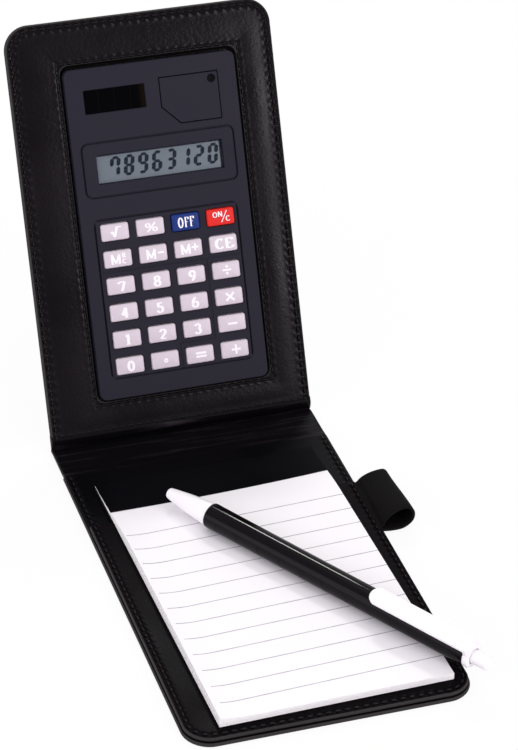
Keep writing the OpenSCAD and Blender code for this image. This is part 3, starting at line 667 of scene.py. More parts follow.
def grown_mesh(tree, values, points=(), edges=()):
    """Mesh, in mm, that a tree makes from its input values and a path of points."""
    seed = bpy.data.meshes.new("seed")
    seed.from_pydata(points, edges, [])
    holder = bpy.data.objects.new("seed", seed)
    bpy.context.scene.collection.objects.link(holder)
    rule = holder.modifiers.new("rule", "NODES")
    rule.node_group = tree
    sockets = {item.name: item.identifier for item in tree.interface.items_tree if item.in_out == "INPUT"}
    for name, value in values.items():
        rule[sockets[name]] = value
    evaluated = holder.evaluated_get(bpy.context.evaluated_depsgraph_get())
    mesh = bpy.data.meshes.new_from_object(evaluated)
    holder.modifiers.remove(rule)
    bpy.data.objects.remove(holder)
    return mesh


def stitch_rule():
    """Row of stitches along a path: each lies along it, with a small lean of its own."""
    inputs = {"Pitch": "Float", "Length": "Float", "Thickness": "Float", "Lean": "Float", "Seed": "Int"}
    tree, start = rule_tree("stitch_row", inputs)
    path = result(tree, "GeometryNodeMeshToCurve", {0: start["Geometry"]})
    spacing = {"Curve": path, "Length": start["Pitch"]}
    row = node(tree, "GeometryNodeCurveToPoints", spacing, mode="LENGTH").outputs
    ball = result(tree, "GeometryNodeMeshUVSphere", {"Segments": 8, "Rings": 6, "Radius": 0.5})
    size = vector_of(tree, start["Length"], start["Thickness"], start["Thickness"])
    stitch = result(tree, "GeometryNodeTransform", {"Geometry": ball, "Scale": size})
    along = result(tree, "FunctionNodeAlignRotationToVector", {"Vector": row["Tangent"]}, axis="X")
    lean = random_shift(tree, start["Lean"], start["Seed"])
    turn = result(tree, "FunctionNodeAxisAngleToRotation", {"Axis": (0, 0, 1), "Angle": lean})
    both = {"Rotation": along, "Rotate By": turn}
    facing = result(tree, "FunctionNodeRotateRotation", both, rotation_space="LOCAL")
    sewing = {"Points": row["Points"], "Instance": stitch, "Rotation": facing}
    return end_tree(tree, start, result(tree, "GeometryNodeInstanceOnPoints", sewing))


STITCHES = stitch_rule()
# Stitches: length with the gap after it, length, thickness, lean and seed of the leans
STITCH_PITCH = 3.0
STITCH_L = 2.2
STITCH_THICK = 0.8
STITCH_LEAN = math.radians(6)
STITCH_SEED = 3


def sewn_rows(name, rows, place):
    """Object with rows of stitches; each row is a path of points in a panel."""
    points, edges = [], []
    for row in rows:
        start = len(points)
        points += row
        edges += [(start + i, start + i + 1) for i in range(len(row) - 1)]
    values = {
        "Pitch": STITCH_PITCH, "Length": STITCH_L, "Thickness": STITCH_THICK, "Lean": STITCH_LEAN,
        "Seed": STITCH_SEED, "Material": thread}
    return settle(name, grown_mesh(STITCHES, values, points, edges), place, 80)


# Cover: panels

PANEL_HALF_W, PANEL_L, _ = local_box("base_outer_cover", BASE)[1]
CORNER_R = 8.5
# Distance from a crease to where a panel's leather meets the folding strap
PANEL_START = 2.4
# Seams: distance from the edge, width of the groove, and how far the leather puckers between stitches
SEAM_IN = 1.7
SEAM_W = 1.3
PUCKER = 0.2
# Parts that a panel's outline is cut into: along a side, round a corner, along half of the free edge
SIDE_STEPS, CORNER_STEPS, FRONT_STEPS = 260, 24, 70


def panel_path(inset, start):
    """Outline of a panel from its right crease end round the free edge to its left crease end."""
    radius = CORNER_R - inset
    straight, half_front = PANEL_L - CORNER_R, PANEL_HALF_W - CORNER_R
    right = [
        (PANEL_HALF_W - inset, start + (straight - start) * k / SIDE_STEPS) for k in range(SIDE_STEPS)]
    right += [
        (half_front + radius * math.cos(a), straight + radius * math.sin(a))
        for a in arc(0, 90, CORNER_STEPS)]
    right += [(half_front * (1 - k / FRONT_STEPS), PANEL_L - inset) for k in range(1, FRONT_STEPS + 1)]
    return right + [(-x, y) for x, y in reversed(right[:-1])]


def puckered(path, z, share, seam):
    """Path lifted to a height, which rises between the stitches of a seam by a share of the full pucker."""
    wave = 2 * math.pi / STITCH_PITCH
    return [(x, y, z + share * PUCKER * math.cos(wave * s)) for (x, y), s in zip(path, lengths_along(seam))]


def panel_rings(profile, start, crease_rim):
    """Rings of a leather layer, from its edge profile of insets, heights and shares of pucker."""
    seam = panel_path(SEAM_IN, start)
    return [
        puckered(panel_path(inset, start + (inset if crease_rim else 0)), z, share, seam)
        for inset, z, share in profile]


def panel_shell(profile, start, crease_rim=True):
    """Points and faces of a leather layer, with or without a rim along its crease."""
    rings = panel_rings(profile, start, crease_rim)
    if crease_rim:
        return loft(rings)
    points, faces = loft(rings, closed=False)
    count = len(rings[0])
    right = range(0, len(points), count)
    left = range(len(points) - 1, 0, -count)
    return points, faces + [[*right, *left]]


def raised(path, z):
    """Flat path lifted to a height."""
    return [(x, y, z) for x, y in path]


def groove(z, depth):
    """Part of an edge profile: the sewn groove of a seam in a face."""
    near, far = SEAM_IN - SEAM_W / 2, SEAM_IN + SEAM_W / 2
    shoulder, bed = z - 0.3 * depth, z - depth
    return [
        (near - 0.2, z, 0.5), (near, shoulder, 0.9), (near + 0.25, bed, 0.4), (far - 0.25, bed, 0.4),
        (far, shoulder, 0.9), (far + 0.25, z, 0.6), (far + 0.9, z, 0.1), (far + 1.6, z, 0), (far + 1.7, z, 0)]


def bead(low, high, bulge=0.0):
    """Part of an edge profile: the round edge of a leather layer, upwards."""
    middle, half = (low + high) / 2, (high - low) / 2
    return [
        (bulge + half * 0.9 * (1 - math.cos(a)), middle + half * math.sin(a), 0.2 * max(math.sin(a), 0))
        for a in arc(-80, 80, 8)]


def plain(*profile):
    """Part of an edge profile without pucker."""
    return [(inset, z, 0) for inset, z in profile]


def edge_depth(x, y):
    """How far inside a panel's outline a place lies."""
    side, front = abs(x) - (PANEL_HALF_W - CORNER_R), y - (PANEL_L - CORNER_R)
    if side > 0 and front > 0:
        return CORNER_R - math.hypot(side, front)
    return CORNER_R - max(side, front)


# The rim of a leather layer, paler for wear and for a painted highlight: its width, and the lean past which a
# face counts as flat
WORN_HIGHLIT_W = 0.55
WORN_HIGHLIT_LEAN = 0.8


def worn_and_highlit_rim(shell):
    """Gives the faces on the round edge of a leather layer the second finish, paler for wear and a painted
    highlight.
    """
    for number, face in enumerate(shell.faces):
        if len(face) == 4:
            corners = [Vector(shell.points[i]) for i in face]
            middle = sum(corners, Vector()) / 4
            if edge_depth(middle.x, middle.y) < WORN_HIGHLIT_W and abs(normal(corners).z) < WORN_HIGHLIT_LEAN:
                shell.slots[number] = 1
    return shell


# Sewn groove on the outer face of a panel, and the height of its stitches
OUTER_GROOVE = plain((1.0, 0), (1.15, 0.12), (1.3, 0.2), (2.1, 0.2), (2.25, 0.12), (2.4, 0), (2.6, 0))
OUTER_STITCH_Z = 0.42


def outer_cover(name, board, rim_top, bulge, place):
    """Outer leather of a panel; its round edge may stand out past the upper layers."""
    floor = local_box(board, place)[0].z
    round_edge = [(inset, z) for inset, z, _ in reversed(bead(0, rim_top, -bulge))]
    profile = plain((2.2, floor), (1.7, rim_top - 0.1), *round_edge) + OUTER_GROOVE
    shell = worn_and_highlit_rim(Piece().add(panel_shell(profile, PANEL_START)))
    return shell.make(name, [cover_leather, leather_edge], place)


def outer_row():
    """Row of stitches right round a panel's outer face."""
    row = raised(panel_path(SEAM_IN, PANEL_START + SEAM_IN), OUTER_STITCH_Z)
    return row + row[:1]


def under_edge(board, rim_top, place):
    """Part of an edge profile: underside of an inner layer, from the board's top to the outer cover's rim."""
    floor, top = (corner.z for corner in local_box(board, place))
    return plain((4.0, top), (4.0, floor + 0.05), (2.3, floor + 0.05), (1.8, rim_top + 0.02))


# Cover: base

BASE_RIM_TOP = 1.65
BASE_BULGE = 0.6
LINING_TOP = local_box("base_lining", BASE)[1].z
POCKET_TOP = local_box("base_pocket", BASE)[1].z
POCKET_MOUTH = local_box("base_pocket", BASE)[0].y
POCKET_THICK = 0.6


def base_cover():
    """Outer leather of the base."""
    cover = outer_cover("base_cover", "base_board", BASE_RIM_TOP, BASE_BULGE, BASE)
    put(cover, "base", "cover_leather", "base_outer_cover")


def base_lining():
    """Inner leather of the base, up to the strap across its crease."""
    profile = under_edge("base_board", BASE_RIM_TOP, BASE)
    profile += bead(BASE_RIM_TOP + 0.06, LINING_TOP, 0.1) + groove(LINING_TOP, 0.2)
    inner = Piece().add(panel_shell(profile, PANEL_START, crease_rim=False))
    put(inner.make("base_inner_lining", [inner_leather], BASE), "base", "inner_leather", "base_lining")


def pad_pocket():
    """Pocket that the pad's card slides under."""
    profile = plain((3.4, POCKET_TOP - POCKET_THICK), (3.4, LINING_TOP + 0.03))
    profile += bead(BASE_RIM_TOP + 0.1, POCKET_TOP) + groove(POCKET_TOP, 0.25)
    shell = worn_and_highlit_rim(Piece().add(panel_shell(profile, POCKET_MOUTH, crease_rim=False)))
    pocket = shell.make("pad_pocket", [pocket_leather, leather_edge], BASE)
    put(pocket, "base", "cover_leather", "base_pocket")


def base_stitches():
    """Seams of the base: round the pocket, along the lining's sides and round the outer face."""
    pocket_row = raised(panel_path(SEAM_IN, POCKET_MOUTH + STITCH_PITCH / 2), POCKET_TOP - 0.1)
    side = PANEL_HALF_W - SEAM_IN
    height = LINING_TOP - 0.05
    lining_rows = [
        raised([(x, PANEL_START + STITCH_PITCH / 2), (x, POCKET_MOUTH - 0.5)], height) for x in (-side, side)]
    put(sewn_rows("base_stitches", [pocket_row, *lining_rows, outer_row()], BASE), "base", "cover_leather")


# Cover: lid

LID_RIM_TOP = 1.75
LID_FACE = local_box("lid_frame", LID)[1].z
LID_BOARD_TOP = local_box("lid_board", LID)[1].z
# Where the lid's inner frame starts, and the ridge of leather that is sewn over its end
LID_FRAME_START = 3.0
RIDGE_PLACE = 3.9
# Gap between the calculator and the leather round it: left, bottom, right and top
WINDOW_GAPS = 0.7, 0.6, 1.1, 1.4
# The window's seam: its way out from the window and its corner radius
WINDOW_SEAM = 0.9, 0.3
# Parts that each side of the lid's window is cut into
WINDOW_STEPS = 180
# The leather between the window and the edge is softly padded: its rise, its rings, its edge past the seam
PADDED_RISE = 0.09
PADDED_RINGS = 12
PADDED_IN = SEAM_IN + 2.6
# Rings of the window's lip that show the edge finish, paler for wear and a painted highlight
LIP_RINGS = 3


def window_ring(out, radius):
    """Outline of the lid's window, grown by a width."""
    low, high = local_box("calc_front_case", LID)
    left, bottom, right, top = (gap + out for gap in WINDOW_GAPS)
    corners = (low.x - left, low.y - bottom), (high.x + right, high.y + top)
    return rounded_rect(*corners, radius, 6, WINDOW_STEPS)


def window_rings():
    """Rings of the leather round the lid's window: its lip, its seam and the padded field up to the rim."""
    # Way out from the window, corner radius, depth below the face and share of pucker
    lip = [(0, 3.0, LID_FACE - LID_BOARD_TOP, 0), (0, 3.0, 0.3, 0), (0.1, 3.0, 0.1, 0), (0.3, 3.0, 0, 0.1)]
    seam = [(0.45, 2.0, 0.05, 0.3), (0.6, 0.6, 0.2, 0.1), (1.1, 0.4, 0.2, 0.1), (1.3, 0.4, 0.05, 0.3)]
    flat = [(1.6, 0.4, 0, 0.15), (2.4, 0.4, 0, 0), (2.5, 0.4, 0, 0)]
    sewn = window_ring(*WINDOW_SEAM)
    rings = [
        puckered(window_ring(out, radius), LID_FACE - depth, share, sewn)
        for out, radius, depth, share in lip + seam + flat]
    inner_edge = window_ring(*flat[-1][:2])
    corner = Vector((PANEL_HALF_W - PADDED_IN, PANEL_L - PADDED_IN))
    low = -corner.x, RIDGE_PLACE + 2.4
    outer_edge = rounded_rect(low, corner, CORNER_R - PADDED_IN, 6, WINDOW_STEPS)
    for k in range(1, PADDED_RINGS + 1):
        share = k / PADDED_RINGS
        ring = [Vector(a).lerp(Vector(b), share) for a, b in zip(inner_edge, outer_edge)]
        rings.append(raised(ring, LID_FACE + PADDED_RISE * math.sin(math.pi * share)))
    return rings


def lid_cover():
    """Outer leather of the lid."""
    put(outer_cover("lid_cover", "lid_board", LID_RIM_TOP, 0, LID), "lid", "cover_leather", "lid_outer_cover")


def lid_frame():
    """Inner leather of the lid, from its sewn rim to its window."""
    profile = under_edge("lid_board", LID_RIM_TOP, LID)
    profile += bead(LID_RIM_TOP + 0.1, LID_FACE) + groove(LID_FACE, 0.25)
    rim = panel_rings(profile, LID_FRAME_START, False)
    window = window_rings()
    shell = Piece().add(loft(rim, caps=False))
    count, size = len(rim[0]), len(window[0])
    first, lip = len(shell.points), len(shell.faces)
    shell.add(loft(window, caps=False))
    shell.slots[lip:lip + LIP_RINGS * size] = [1] * (LIP_RINGS * size)
    last = len(shell.points)
    under = [range(count), range(first, first + size)]
    over = [range(first - count, first), range(last - size, last)]
    filled = between(shell.points, under) + between(shell.points, over)
    shell.faces += filled
    shell.slots += [0] * len(filled)
    made = worn_and_highlit_rim(shell).make("lid_inner_frame", [cover_leather, leather_edge], LID)
    put(made, "lid", "cover_leather", "lid_frame")


def lid_stitches():
    """Seams of the lid: round the frame, along the ridge, round the window and round the outer face."""
    height = LID_FACE - 0.1
    ridge_end = PANEL_HALF_W - SEAM_IN - 2
    sewn = window_ring(*WINDOW_SEAM)
    rows = [
        raised(panel_path(SEAM_IN, LID_FRAME_START + STITCH_PITCH / 2), height),
        raised([(-ridge_end, RIDGE_PLACE + 1.3), (ridge_end, RIDGE_PLACE + 1.3)], height),
        raised(sewn + sewn[:1], height - 0.05),
        outer_row()]
    put(sewn_rows("lid_stitches", rows, LID), "lid", "cover_leather")


# Cover: straps across the creases, a little wider than the panels

STRAP_HALF_W = PANEL_HALF_W + 0.2
# Round side edge of a strap: inset and share of its thickness
STRAP_EDGE = [(0, 0.45), (0.12, 0.75), (0.35, 0.95), (0.7, 1.0), (3.0, 1.0)]
# Heights of the outer face and of the inner face on the spine, and where the two straps meet
STRAP_FLOOR = 0.06
SPINE_TOP = 1.85
SPINE_MIDDLE = (base_axis.y + lid_axis.y) / 2
# How far a strap reaches under the base's lining and over the lid
BASE_REACH = PANEL_START + 2.0
LID_REACH = 5.2
# Radius of the outer and of the inner fold about the lid's crease
OUTER_FOLD_R = 0.44
INNER_FOLD_R = 1.0


def crease_strap(name, outer, inner):
    """Leather that crosses a crease, from its outer and inner lines of y and z."""
    outer_line, inner_line = spline(outer, 6), spline(inner, 6)
    outer_line += outer_line[-1:] * (len(inner_line) - len(outer_line))
    section = outer_line + inner_line[::-1]
    rings = []
    for way, edge in ((-1, STRAP_EDGE), (1, STRAP_EDGE[::-1])):
        for inset, share in edge:
            ring = []
            for point, opposite in zip(section, reversed(section)):
                middle = (point + opposite) / 2
                y, z = middle + (point - middle) * share
                ring.append((way * (STRAP_HALF_W - inset), y, z))
            rings.append(ring)
    return Piece().add(loft(rings)).make(name, [creased_leather])


def base_crease():
    """Strap that crosses the base's crease."""
    y, z = base_axis.y, base_axis.z
    outer = [(place, STRAP_FLOOR) for place in (y - BASE_REACH, y - 2, y, y + 2, SPINE_MIDDLE)]
    inner = [
        (y - BASE_REACH, LINING_TOP - 0.12), (y - PANEL_START, LINING_TOP - 0.06),
        (y - 1.4, LINING_TOP - 0.1), (y, LINING_TOP - 0.25)]
    inner += [(place, SPINE_TOP) for place in (y + 1.4, y + 3, SPINE_MIDDLE)]
    strap = crease_strap("base_crease", outer, inner)
    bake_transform(strap)
    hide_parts("spine_cover", "spine_lining")


def on_lid(distance, height):
    """The y and z of a place on the lid, from its distance from the crease and its height."""
    place = LID @ Vector((0, distance, height))
    return place.y, place.z


def about_lid_axis(radius, angle):
    """The y and z of a place round the lid's crease."""
    return lid_axis.y + radius * math.cos(angle), lid_axis.z + radius * math.sin(angle)


def lid_crease():
    """Strap that folds at the lid's crease."""
    y, z = lid_axis.y, lid_axis.z
    outer = [(place, STRAP_FLOOR) for place in (SPINE_MIDDLE, y - 3, y - 1)]
    outer += [about_lid_axis(OUTER_FOLD_R, a) for a in arc(-90, math.degrees(lid_tilt) - 90, 3)]
    outer += [on_lid(1.2, STRAP_FLOOR), on_lid(LID_REACH, 0.15)]
    inner = [(SPINE_MIDDLE, SPINE_TOP), (y - 3.4, SPINE_TOP), (y - 1.6, 1.7)]
    inner += [about_lid_axis(INNER_FOLD_R, (math.pi + lid_tilt) / 2), on_lid(1.0, 1.7), on_lid(2.0, 2.9)]
    ridge = [(3.0, 0.05), (RIDGE_PLACE, 0.35), (RIDGE_PLACE + 0.7, 0.1), (LID_REACH, -0.3)]
    inner += [on_lid(distance, LID_FACE + rise) for distance, rise in ridge]
    strap = crease_strap("lid_crease", outer, inner)
    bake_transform(strap)


# Cover: elastic loop

# Middle line of the elastic at its front and rear end: distance past the panel's edge, and height
LOOP_FRONT = [
    (-1.2, 2.2), (1.0, 1.75), (4.0, 1.45), (7.6, 1.75), (10.4, 3.9), (10.9, 6.8),
    (9.3, 9.2), (6.6, 9.4), (3.4, 8.0), (1.0, 5.6), (0.1, 3.6), (-1.2, 2.7)]
LOOP_REAR = [
    (-1.2, 2.2), (1.0, 1.85), (4.0, 1.5), (7.4, 1.6), (10.1, 2.9), (10.6, 5.0),
    (9.4, 6.9), (7.0, 7.0), (4.0, 6.3), (1.6, 5.0), (0.3, 3.6), (-1.2, 2.7)]
LOOP_HALF_THICK = 0.5
# Rounded hem of the elastic: distance from its end and share of its thickness
LOOP_HEM = [(0.0, 0.55), (0.15, 0.85), (0.4, 1.0)]
LOOP_STEPS = 10
# Middle and radius of the circle that the weave's map is wound about
LOOP_MIDDLE = Vector((PANEL_HALF_W + 5, 5))
LOOP_R = 5.5


def loop_ring(line, y, half):
    """Ring of the elastic at a place along the base, to one side of its middle line."""
    ring = []
    for before, here, after in zip(line[-1:] + line[:-1], line, line[1:] + line[:1]):
        along = (after - before).normalized()
        side = Vector((along.y, -along.x)) * half
        ring.append((PANEL_HALF_W + here.x + side.x, y, here.y + side.y))
    return ring


def elastic_loop():
    """Woven elastic loop: a teardrop that lies flatter towards its rear end, sewn in between the layers."""
    start, end = (corner.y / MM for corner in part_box("pen_loop"))
    length = end - start
    front_line, rear_line = spline(LOOP_FRONT, 6, closed=True), spline(LOOP_REAR, 6, closed=True)
    places = LOOP_HEM + [(length * k / LOOP_STEPS, 1.0) for k in range(1, LOOP_STEPS)]
    places += [(length - s, share) for s, share in reversed(LOOP_HEM)]
    outer, inner = [], []
    for s, share in places:
        line = [a.lerp(b, smooth_step(s / length)) for a, b in zip(front_line, rear_line)]
        outer.append(loop_ring(line, start + s, LOOP_HALF_THICK * share))
        inner.append(loop_ring(line, start + s, -LOOP_HALF_THICK * share))
    shell = Piece().add(loft(outer + inner[::-1] + outer[:1], caps=False))
    loop = shell.make("elastic_loop", [elastic], sharp=60)
    weave = loop.data.uv_layers.new(name="strap")
    for corner in loop.data.loops:
        x, y, z = loop.data.vertices[corner.vertex_index].co / MM
        turn = math.atan2(z - LOOP_MIDDLE.y, x - LOOP_MIDDLE.x)
        weave.data[corner.index].uv = (y, turn * LOOP_R)
    put(loop, "base", "elastic", "pen_loop")


base_cover()
base_lining()
pad_pocket()
base_stitches()
lid_cover()
lid_frame()
lid_stitches()
base_crease()
lid_crease()
elastic_loop()

# Calculator

CASE_LOW, CASE_HIGH = local_box("calc_front_case", LID)
FACE_BACK = local_box("lcd_window", LID)[0].z
CASE_R = 2.5
# Raised fields round the display and the keys, and the grooves that part them
BEZEL_HALF = Vector((53.5, 18.7)) / 2
FIELD_HALF = Vector((50.4, 54.4)) / 2
GROOVE_W = 0.5
GROOVE_D = 0.8
ISLAND_GROOVE_D = 0.2
# Length of the battery door's slanted corner, along its sides
DOOR_CUT = 6.05
KEY_ROWS = [
    ["key_sqrt", "key_percent", "key_off", "key_on_clear"],
    ["key_mrc", "key_m_minus", "key_m_plus", "key_clear_entry"],
    ["key_7", "key_8", "key_9", "key_divide"],
    ["key_4", "key_5", "key_6", "key_multiply"],
    ["key_1", "key_2", "key_3", "key_minus"],
    ["key_0", "key_point", "key_equals", "key_plus"],
]
FLANGE_W = 0.6
KEY_R = 0.7
# How much narrower and lower a cap is than the room its solid takes
CAP_TRIM = 0.3, 0.5
# Gap round a key in the raised field, and behind it
KEY_GAP = 0.25
KEY_GAP_BEHIND = 0.55


def grown_box(node, margin):
    """Rectangle of a solid on the lid, grown by a margin: lowest and highest corner."""
    low, high = local_box(node, LID)
    return (low.x - margin, low.y - margin), (high.x + margin, high.y + margin)


def door_outline(margin):
    """Outline of the battery door with its slanted lower left corner, grown by a margin."""
    (left, low), (right, high) = grown_box("battery_door", 0)
    slant = [(left, low + DOOR_CUT), (left + DOOR_CUT, low)]
    return grow(slant + [(right, low), (right, high), (left, high)], margin)


def cap_box(name):
    """Lowest and highest corner of a key's cap on the face."""
    low, high = grown_box(name, -FLANGE_W)
    return Vector((low[0] + CAP_TRIM[0], low[1])), Vector((high[0], high[1] - CAP_TRIM[1]))


def key_hole(name, margin):
    """Round-cornered hole of a key in the calculator's face."""
    low, high = cap_box(name)
    grown = Vector((margin, margin))
    return rounded_rect(low - grown, high + grown, KEY_R + margin, 4)


def lcd_opening():
    """Opening of the display in the calculator's face: lowest and highest corner."""
    low, high = grown_box("lcd_window", -1.4)
    return (low[0] - 0.5, low[1]), (high[0] + 1.0, high[1])


def key_grid():
    """Middle of the keys, and their pitch across and down."""
    first, last = local_box(KEY_ROWS[0][0], LID), local_box(KEY_ROWS[-1][-1], LID)
    middle = (first[0].xy + first[1].xy + last[0].xy + last[1].xy) / 4
    return middle, (last[0].x - first[0].x) / 3, (first[0].y - last[0].y) / 5


def key_islands():
    """Raised fields of the function, number and sign keys: each one's outline and its keys."""
    middle, pitch_x, pitch_y = key_grid()
    left, bottom = middle - FIELD_HALF + Vector((GROOVE_W, GROOVE_W))
    right, top = middle + FIELD_HALF - Vector((GROOVE_W, GROOVE_W))
    half = GROOVE_W / 2
    functions, signs, column = middle.y + pitch_y, middle.y - 2 * pitch_y, middle.x + pitch_x
    function_ring = rounded_rect((left, functions + half), (right, top), 0.5)
    number_ring = [
        (left, bottom), (middle.x - half, bottom), (middle.x - half, signs + half),
        (column - half, signs + half), (column - half, functions - half), (left, functions - half)]
    sign_ring = [
        (middle.x + half, bottom), (right, bottom), (right, functions - half),
        (column + half, functions - half), (column + half, signs - half), (middle.x + half, signs - half)]
    return [
        (function_ring, KEY_ROWS[0] + KEY_ROWS[1]),
        (number_ring, [name for row in KEY_ROWS[2:5] for name in row[:3]] + KEY_ROWS[5][:2]),
        (sign_ring, [row[3] for row in KEY_ROWS[2:5]] + KEY_ROWS[5][2:])]


def calculator_face():
    """Front of the calculator: raised fields with round edges, parted by grooves, around the openings."""
    split, face = CASE_LOW.z, CASE_HIGH.z
    lcd = lcd_opening()
    lcd_middle = Vector((CASE_LOW.x + CASE_HIGH.x, lcd[0][1] + lcd[1][1])) / 2
    keys_middle = key_grid()[0]
    bezel = rounded_rect(lcd_middle - BEZEL_HALF, lcd_middle + BEZEL_HALF, CASE_R)
    field = rounded_rect(keys_middle - FIELD_HALF, keys_middle + FIELD_HALF, CASE_R)
    lcd_hole = rounded_rect(*lcd, 0.25, 2)
    solar_hole = rounded_rect(*grown_box("solar_cell", -0.7), 0.3, 2)
    outline = rounded_rect(CASE_LOW.xy, CASE_HIGH.xy, CASE_R)
    key_holes = [key_hole(name, KEY_GAP_BEHIND) for row in KEY_ROWS for name in row]
    wide_holes = [grow(lcd_hole, 0.4), grow(solar_hole, 0.5), door_outline(0.5)]
    case = Piece()
    case.add(plate(outline, [bezel, field, solar_hole, door_outline(0.25)], split, face, 0.3))
    case.add(plate(grow(bezel, -GROOVE_W), [lcd_hole], FACE_BACK, face, 0.22))
    case.add(plate(grow(outline, -0.8), wide_holes + key_holes, FACE_BACK + 0.02, face - GROOVE_D, 0.05))
    case.add(plate(grow(field, -GROOVE_W), key_holes, FACE_BACK + 0.01, face - ISLAND_GROOVE_D, 0.05))
    for ring, names in key_islands():
        case.add(plate(ring, [key_hole(name, KEY_GAP) for name in names], FACE_BACK, face, 0.12))
    put(case.make("calculator_face", [case_plastic], LID), "lid", "case_plastic", "calc_front_case")


def circle(middle, radius, steps=48):
    """Round outline."""
    return [(middle.x + radius * math.cos(a), middle.y + radius * math.sin(a)) for a in round_trip(steps)]


def screw_place():
    """Middle and radius of the battery door's screw, and its lowest and highest level."""
    low, high = local_box("battery_door_screw", LID)
    return (low.xy + high.xy) / 2, (high.x - low.x) / 2, low.z, high.z


def battery_door():
    """Battery door with a hole for its screw."""
    low, high = local_box("battery_door", LID)
    middle, radius, *_ = screw_place()
    door = Piece().add(plate(door_outline(0), [circle(middle, radius + 0.1)], low.z, high.z, 0.14))
    put(door.make("battery_door_panel", [case_plastic], LID), "battery_hatch", "case_plastic", "battery_door")


def door_screw():
    """Sunk, cross-headed screw of the battery door."""
    middle, radius, low, high = screw_place()
    arm, wide = 0.75 * radius, 0.2 * radius
    quarter = [Vector((wide, -arm)), Vector((wide, -wide)), Vector((arm, -wide))]
    cross = [Matrix.Rotation(turn, 2) @ point for turn in round_trip(4) for point in quarter]
    slot = [middle + point for point in cross]
    screw = Piece().add(plate(circle(middle, radius), [slot], high - 0.35, high, 0.1))
    screw.add(plate(circle(middle, radius * 0.98), [], high - 0.4, high - 0.3, 0.02))
    screw.add(plate(circle(middle, radius * 0.57), [], low, high - 0.38, 0.02))
    put(screw.make("door_screw", [black_screw], LID), "battery_hatch", "black_screw", "battery_door_screw")


# Segments of a digit: their two ends on a grid of 1 by 2
SEGMENTS = {
    "a": ((0, 2), (1, 2)), "b": ((1, 2), (1, 1)), "c": ((1, 1), (1, 0)), "d": ((0, 0), (1, 0)),
    "e": ((0, 1), (0, 0)), "f": ((0, 2), (0, 1)), "g": ((0, 1), (1, 1)),
}
DIGITS = {
    "0": "abcdef", "1": "bc", "2": "abged", "3": "abgcd", "6": "afgedc", "7": "abcf", "8": "abcdefg",
    "9": "abcdfg",
}
READING = "78963120"
# Digits: width and height between the middles of the segments, pitch and slant
DIGIT_W, DIGIT_H = 2.3, 5.95
DIGIT_PITCH = 4.9
DIGIT_SLANT = math.tan(math.radians(8))
# Segments: width of the upright and the level ones, gap at their tips, and length of the tip
UPRIGHT_W, LEVEL_W = 1.38, 1.0
TIP_GAP = 0.08
TIP_SHARE = 0.42
# Middle of the last digit, from the opening's right edge and its middle height
LAST_DIGIT_IN = 3.25
DIGIT_RISE = 0.34
# Painted shade along the display's edges, where the opening's walls shade it: how far it shows at the right,
# top and bottom, and reaches behind the face
SHADE_RIGHT, SHADE_TOP, SHADE_BOTTOM = 0.85, 0.5, 0.25
SHADE_BEHIND = 0.5


def segment_ring(name):
    """Six-sided outline of a digit's segment, about the digit's middle."""
    (x0, y0), (x1, y1) = SEGMENTS[name]
    first, last = (Vector(((x - 0.5) * DIGIT_W, (y - 1) * DIGIT_H / 2)) for x, y in ((x0, y0), (x1, y1)))
    along = (last - first).normalized()
    bar = UPRIGHT_W if x0 == x1 else LEVEL_W
    side = Vector((-along.y, along.x)) * bar / 2
    tip = along * TIP_GAP
    shoulder = tip + along * bar * TIP_SHARE
    return [
        first + tip, first + shoulder - side, last - shoulder - side,
        last - tip, last - shoulder + side, first + shoulder + side]


def lcd_display():
    """Display glass with a row of slanted seven-segment digits, and dark bands of painted shade along its
    edges.
    """
    low, high = local_box("lcd_glass", LID)
    (left, bottom), (right, top) = lcd_opening()
    surface = high.z - 0.03
    glass = Piece().add(plate(rounded_rect(low.xy, high.xy, 0.3, 2), [], low.z, surface, 0.08))
    middle_y = (bottom + top) / 2 + DIGIT_RISE
    for place, digit in enumerate(reversed(READING)):
        middle_x = right - LAST_DIGIT_IN - DIGIT_PITCH * place
        for name in DIGITS[digit]:
            ring = [(middle_x + p.x + DIGIT_SLANT * p.y, middle_y + p.y) for p in segment_ring(name)]
            glass.add(loft([raised(ring, surface - 0.02), raised(ring, surface + 0.015)]), 1)
    outer_low = left - SHADE_BEHIND, bottom - SHADE_BEHIND
    outer_high = right + SHADE_BEHIND, top + SHADE_BEHIND
    # Ink-dark bands of painted shade along the right, top and bottom edges, where the opening's walls shade
    # the display
    edges = [
        ((right - SHADE_RIGHT, outer_low[1]), outer_high),
        ((outer_low[0], top - SHADE_TOP), outer_high),
        (outer_low, (outer_high[0], bottom + SHADE_BOTTOM))]
    for lowest, highest in edges:
        band = rounded_rect(Vector(lowest), Vector(highest), 0.05, 1)
        glass.add(loft([raised(band, surface - 0.02), raised(band, surface + 0.01)]), 1)
    put(glass.make("lcd_panel", [display, lcd_ink_and_shade], LID), "lid", "display", "lcd_glass")


def solar_panel():
    """Solar cell behind its opening."""
    low, high = local_box("solar_cell", LID)
    cell = Piece().add(plate(rounded_rect(low.xy, high.xy, 0.3, 2), [], low.z, high.z, 0.1))
    put(cell.make("solar_panel", [solar_glass], LID), "lid", "solar_glass", "solar_cell")


# Legends: each letter is a set of strokes in a box of 1 by 1


def bow(x, y, rx, ry, start, end):
    """Round stroke."""
    return [(x + rx * math.cos(a), y + ry * math.sin(a)) for a in arc(start, end, 18)]


